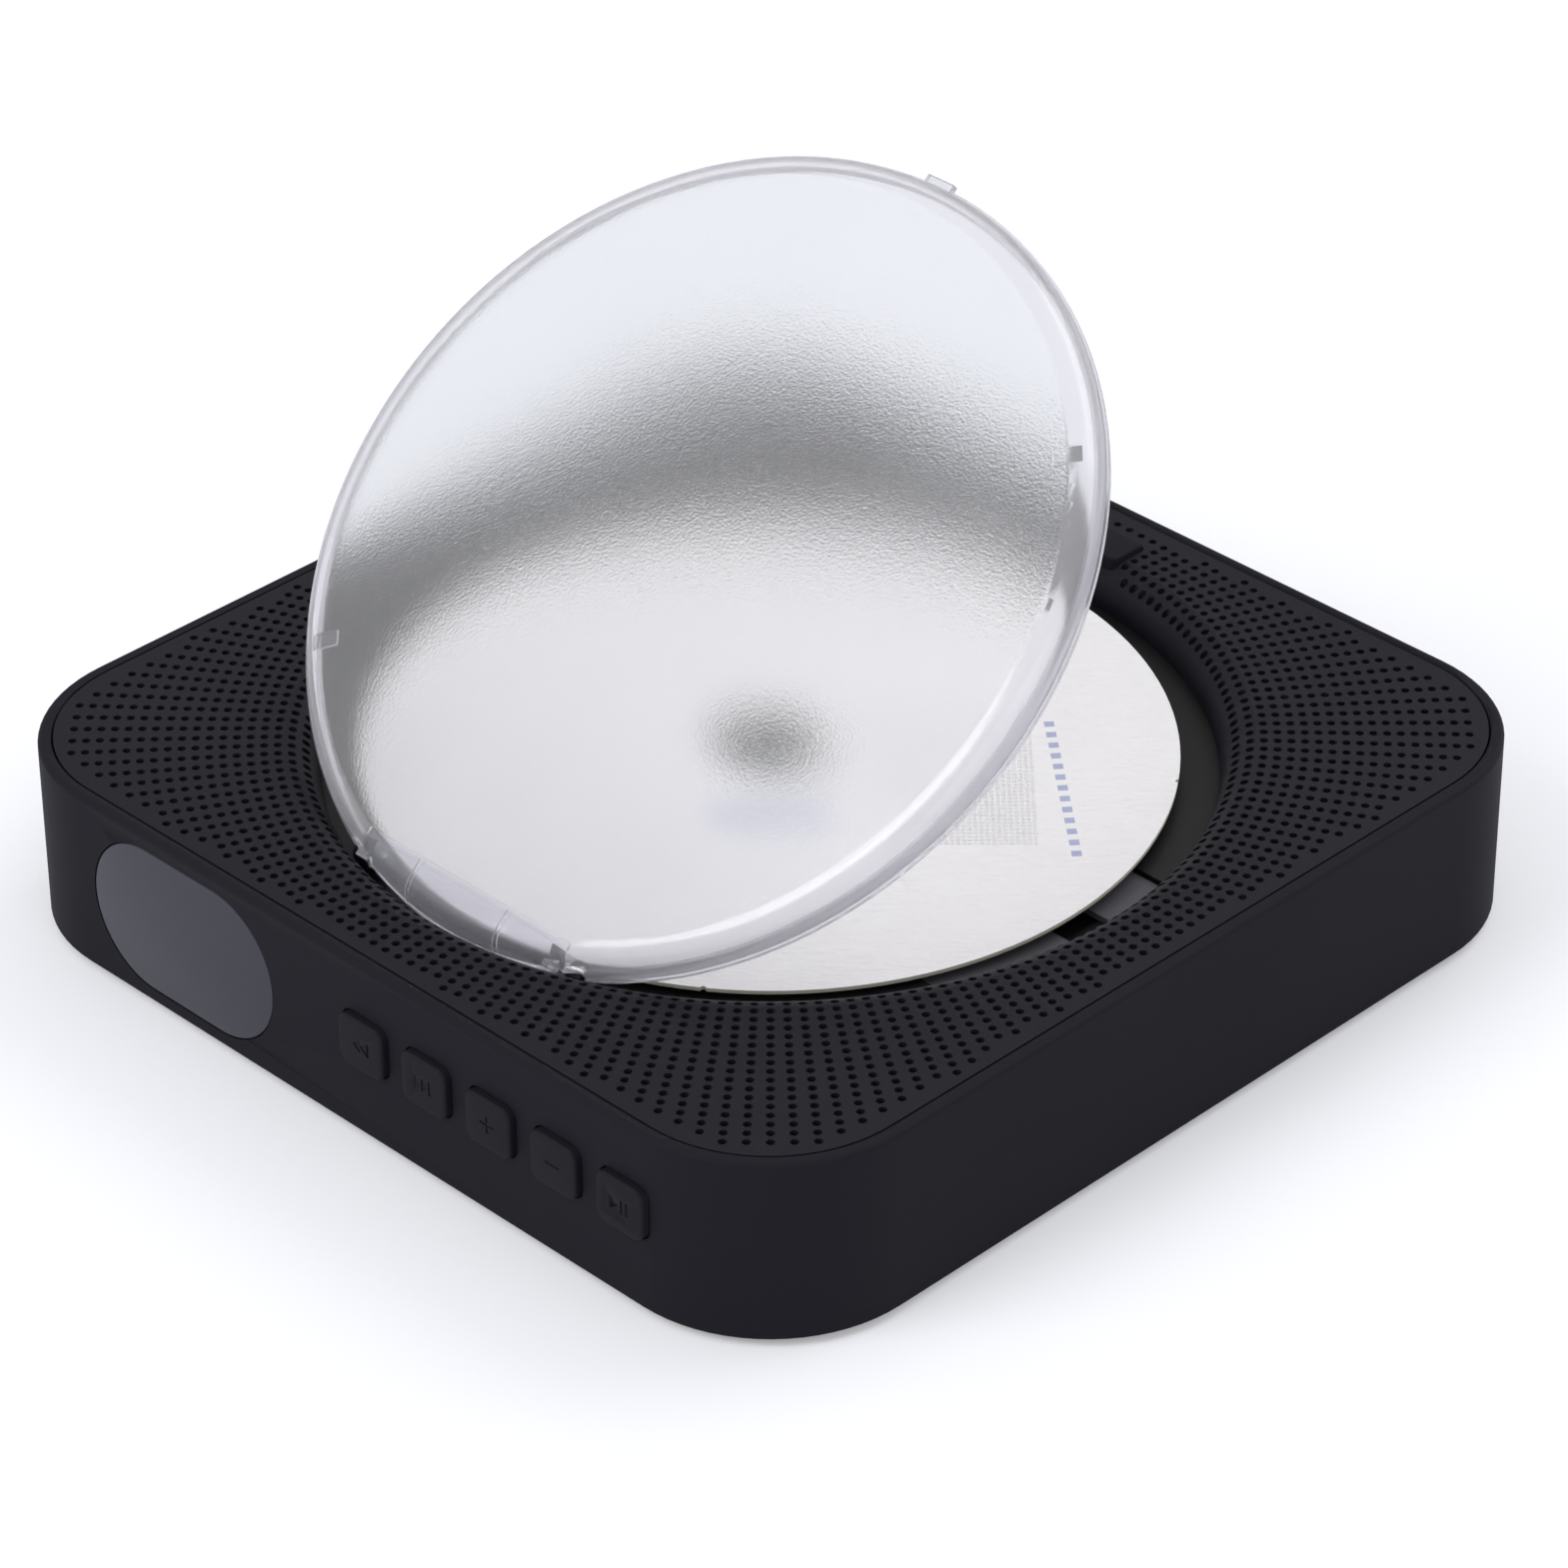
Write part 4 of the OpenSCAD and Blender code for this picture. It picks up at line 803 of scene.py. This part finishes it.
def buildLid():
    shape = mergedCopy("lid")
    toClosed = Matrix.Translation(lidShape["hinge"]) @ Matrix.Rotation(-lidShape["open"], 4, "X") \
        @ Matrix.Translation(-lidShape["hinge"])
    shape.transform(toClosed)
    joinFlatFaces(shape)
    for place, normal in (((0, lidShape["wingEdge"], 0), (0, 1, 0)),
                          ((lidShape["wingHalf"], 0, 0), (1, 0, 0)),
                          ((-lidShape["wingHalf"], 0, 0), (1, 0, 0))):
        bmesh.ops.bisect_plane(shape, geom=shape.verts[:] + shape.edges[:] + shape.faces[:], plane_co=place,
                               plane_no=normal, dist=meshing["snap"])
    outer = [e for e in shape.edges if isEdge(e) and all(
        v.co.xy.length > lidShape["rimFrom"] and v.co.y > lidShape["wingEdge"] for v in e.verts)]
    roundEdges(shape, outer, lidShape["rimEdge"], lidShape["rimSteps"])
    shape.normal_update()
    for face in shape.faces:
        face.smooth = True
    for edge in shape.edges:
        flat = [abs(f.normal.z) > lidFaces["flat"] for f in edge.link_faces]
        edge.smooth = len(flat) == 2 and flat[0] == flat[1] and edge.calc_face_angle() < lidShape["smoothTo"]
    mesh = meshFrom(shape, "lid_moulding")
    for face in mesh.polygons:
        face.material_index = lidMaterial(face, mesh)
    mesh.transform(toClosed.inverted())
    finishes = [clearRim, frostedPanel, clearSkirt, clearWing]
    addPiece("lid_moulding", mesh, finishes, "lid_body", "lid")


buildLid()
print("stage 4: the lid is made")


# keys with soft edges and sunk signs
keyRow = {"first": 4 * mm, "pitch": 15.8 * mm, "level": deckTop - 15.85 * mm, "front": -102.4 * mm,
          "edge": 0.55 * mm, "edgeSteps": 4, "signDepth": 0.18 * mm, "toolStart": 1 * mm,
          "smoothTo": math.radians(30)}


def bar(x, z, width, height):
    return [(x - width / 2, z - height / 2), (x + width / 2, z - height / 2),
            (x + width / 2, z + height / 2), (x - width / 2, z + height / 2)]


def arrow(x, z, width, height, way):
    back, tip = x - way * width / 2, x + way * width / 2
    return [(back, z - height / 2), (tip, z), (back, z + height / 2)]


def cross(reach, half):
    return [(-reach, -half), (-half, -half), (-half, -reach), (half, -reach), (half, -half), (reach, -half),
            (reach, half), (half, half), (half, reach), (-half, reach), (-half, half), (-reach, half)]


# outlines in millimetres from the middle of each key
keySigns = {
    "key_previous": [arrow(-0.95, 0, 1.7, 2.7, -1), arrow(0.8, 0, 1.7, 2.7, -1), bar(1.95, 0, 0.5, 2.7)],
    "key_next": [arrow(-1.3, 0, 1.7, 2.7, 1), arrow(0.45, 0, 1.7, 2.7, 1), bar(1.6, 0, 0.5, 2.7)],
    "key_plus": [cross(1.7, 0.27)],
    "key_minus": [bar(0, 0, 3.4, 0.54)],
    "key_mode": [arrow(-1.1, 0, 2.1, 2.7, 1), bar(0.65, 0, 0.55, 2.7), bar(1.85, 0, 0.55, 2.7)]}


def buildKey(number, nodeName):
    centre = keyRow["first"] + number * keyRow["pitch"]
    shape = mergedCopy(nodeName)
    joinFlatFaces(shape)
    rim = [e for e in shape.edges if len(e.link_faces) == 2
           and all(v.co.y < keyRow["front"] + meshing["near"] for v in e.verts)]
    roundEdges(shape, rim, keyRow["edge"], keyRow["edgeSteps"])
    tool = bmesh.new()
    for sign in keySigns[nodeName]:
        outline = [(centre + x * mm, keyRow["front"] - keyRow["toolStart"], keyRow["level"] + z * mm)
                   for x, z in sign]
        raisePrism(tool, outline, (0, keyRow["toolStart"] + keyRow["signDepth"], 0))
    mesh = cutAway(meshFrom(shape, nodeName + "_cap"), tool)
    finishMesh(mesh, keyRow["smoothTo"])
    addPiece(nodeName + "_cap", mesh, [keyBlack], nodes[nodeName]["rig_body"], nodeName)


for number, nodeName in enumerate(keySigns):
    buildKey(number, nodeName)
print("stage 5: the keys are made")


# the case's long edges: the solids have a square step there, and the real edge is round as at the corners
caseEdges = {"half": 101 * mm, "straightHalf": 71 * mm, "stepWidth": 1 * mm,
             "levels": ({"face": deckTop, "ledge": deckTop - 1 * mm}, {"face": 1.2 * mm, "ledge": 2 * mm})}


def roundLongEdges(shape):
    near = meshing["near"]
    inner, outer = caseEdges["half"] - caseEdges["stepWidth"], caseEdges["half"]
    for side in range(4):
        turned = Matrix.Rotation(math.radians(90 * side), 4, "Z")
        for level in caseEdges["levels"]:
            low, high = sorted((level["face"], level["ledge"]))

            def inStep(vert):
                spot = turned @ vert.co
                return (inner - near < spot.x < outer + near and low - near < spot.z < high + near
                        and abs(spot.y) < caseEdges["straightHalf"] + near)

            def inCorner(vert):
                spot = turned @ vert.co
                return abs(spot.x - inner) < near and abs(spot.z - level["ledge"]) < near

            step = [f for f in shape.faces if any(map(inCorner, f.verts)) and all(map(inStep, f.verts))]
            bmesh.ops.delete(shape, geom=step, context="FACES")
            arcs = [e for e in shape.edges if len(e.link_faces) == 1 and all(map(inStep, e.verts))
                    and abs((turned @ e.verts[0].co).y - (turned @ e.verts[1].co).y) < near]
            bmesh.ops.bridge_loops(shape, edges=arcs)
    bmesh.ops.recalc_face_normals(shape, faces=shape.faces)


# housing pieces that keep the shape of the solids, three of them with a soft outer edge
softEdges = {"window": {"where": lambda p: p.y < -100.99 * mm, "width": 0.25 * mm, "steps": 2},
             "releasePad": {"where": lambda p: p.z > deckTop + 1.19 * mm, "width": 0.45 * mm, "steps": 4},
             "feet": {"where": lambda p: p.z < 0.01 * mm, "width": 0.4 * mm, "steps": 3}}

dressNode("main_case", "main_case_shell", [softBlack], reshape=roundLongEdges)
dressNode("display_window", "display_lens", [smokedWindow], softEdge=softEdges["window"])
dressNode("lid_release", "lid_release_pad", [softBlack], softEdge=softEdges["releasePad"])
dressNode("disc_well", "disc_well_tub", [wellBlack])
dressNode("mech_cover", "mech_cover_plate", [plateGrey])
dressNode("rear_cover", "rear_cover_plate", [softBlack])
dressNode("turntable_hub", "turntable_and_hub", [wellBlack])
dressNode("card_disc", "packing_card", [paperWhite, paperEdge],
          chooseFace=lambda normal: 1 if abs(normal.z) < meshing["wallBelow"] else 0)
dressNode("rubber_feet", "rubber_feet_round", [rubberBlack], softEdge=softEdges["feet"])
dressNode("power_switch", "power_switch_knob", [wellBlack])
dressNode("hinge_pins", "hinge_pin_pair", [steelBright])

# pieces whose solids stay as they are
plainPieces = (
    (feltBlack, ("grille_felt",)),
    (chipBlack, ("display_module", "key_switches", "board_chips", "headphone_jack", "aux_jack", "power_inlet",
                 "speaker_baskets", "pickup_sled")),
    (boardGreen, ("display_board", "key_board", "main_board")),
    (wrapBlue, ("capacitors", "battery_pack")),
    (coneBlack, ("speaker_cones",)),
    (wellBlack, ("mech_chassis",)),
    (rubberBlack, ("mech_dampers",)),
    (zincDull, ("usb_port", "switch_body", "speaker_magnets", "damper_screws", "case_screws")),
    (steelBright, ("spindle_motor", "spindle_shaft", "centring_balls", "guide_rods", "sled_motor")),
    (gearWhite, ("motor_pinion", "drive_gear")),
    (lensBlue, ("pickup_lens",)))
for material, names in plainPieces:
    for nodeName in names:
        dressPlain(nodeName, material)
print("stage 6: the housing and the inside are dressed")


# floor, light and background; seen, through and mirrored are the floor's own light for each kind of ray
floorLook = {"half": 6.0, "level": -0.2 * mm, "colour": (0.76, 0.77, 0.82, 1), "roughness": 0.9,
             "specular": 0.1, "seen": 0.25, "through": 0.02, "mirrored": 0.05}
skyLight = 0.68
lamps = {"keyLamp": {"place": (-0.45, -1.42, 1.37), "size": 1.0, "power": 13.6},
         "fillLamp": {"place": (1.4, -0.6, 0.9), "size": 1.2, "power": 3.0},
         "backLamp": {"place": (0.3, 1.4, 1.3), "size": 1.4, "power": 9.6}}
lampTarget = Vector((0, 0, 30 * mm))


def addLamp(name, look):
    data = bpy.data.lights.new(name, "AREA")
    data.shape = "SQUARE"
    data.size = look["size"]
    data.energy = look["power"]
    lamp = addObject(name, data)
    lamp.location = look["place"]
    lamp.rotation_euler = (lampTarget - Vector(look["place"])).to_track_quat("-Z", "Y").to_euler()
    lamp.visible_camera = False


def buildFloor():
    shape = bmesh.new()
    half = floorLook["half"]
    corners = ((-half, -half), (half, -half), (half, half), (-half, half))
    shape.faces.new([shape.verts.new((x, y, floorLook["level"])) for x, y in corners])
    floor = addObject("paleFloor", meshFrom(shape, "paleFloor"))
    material, tree, shader = startMaterial("paleFloor")
    shader.inputs["Base Color"].default_value = floorLook["colour"]
    shader.inputs["Roughness"].default_value = floorLook["roughness"]
    shader.inputs["Specular IOR Level"].default_value = floorLook["specular"]
    ray = addNode(tree, "ShaderNodeLightPath").outputs
    seen = calculate(tree, "MULTIPLY", ray["Is Camera Ray"], floorLook["seen"])
    through = calculate(tree, "MULTIPLY_ADD", ray["Is Transmission Ray"], floorLook["through"], seen)
    glow = calculate(tree, "MULTIPLY_ADD", ray["Is Glossy Ray"], floorLook["mirrored"], through)
    shader.inputs["Emission Color"].default_value = (1, 1, 1, 1)
    tree.links.new(glow, shader.inputs["Emission Strength"])
    floor.data.materials.append(material)


def buildWorld():
    world = bpy.data.worlds.new("whiteRoom")
    bpy.context.scene.world = world
    world.use_nodes = True
    tree = world.node_tree
    background = tree.nodes["Background"]
    background.inputs["Color"].default_value = (1, 1, 1, 1)
    ray = addNode(tree, "ShaderNodeLightPath").outputs
    seen = calculate(tree, "MAXIMUM", ray["Is Camera Ray"], ray["Is Transmission Ray"])
    tree.links.new(remap(tree, seen, 0.0, 1.0, skyLight, 1.0), background.inputs["Strength"])


buildFloor()
buildWorld()
for name, look in lamps.items():
    addLamp(name, look)
bpy.context.scene.view_settings.view_transform = "Standard"
print("stage 7: the light is set")
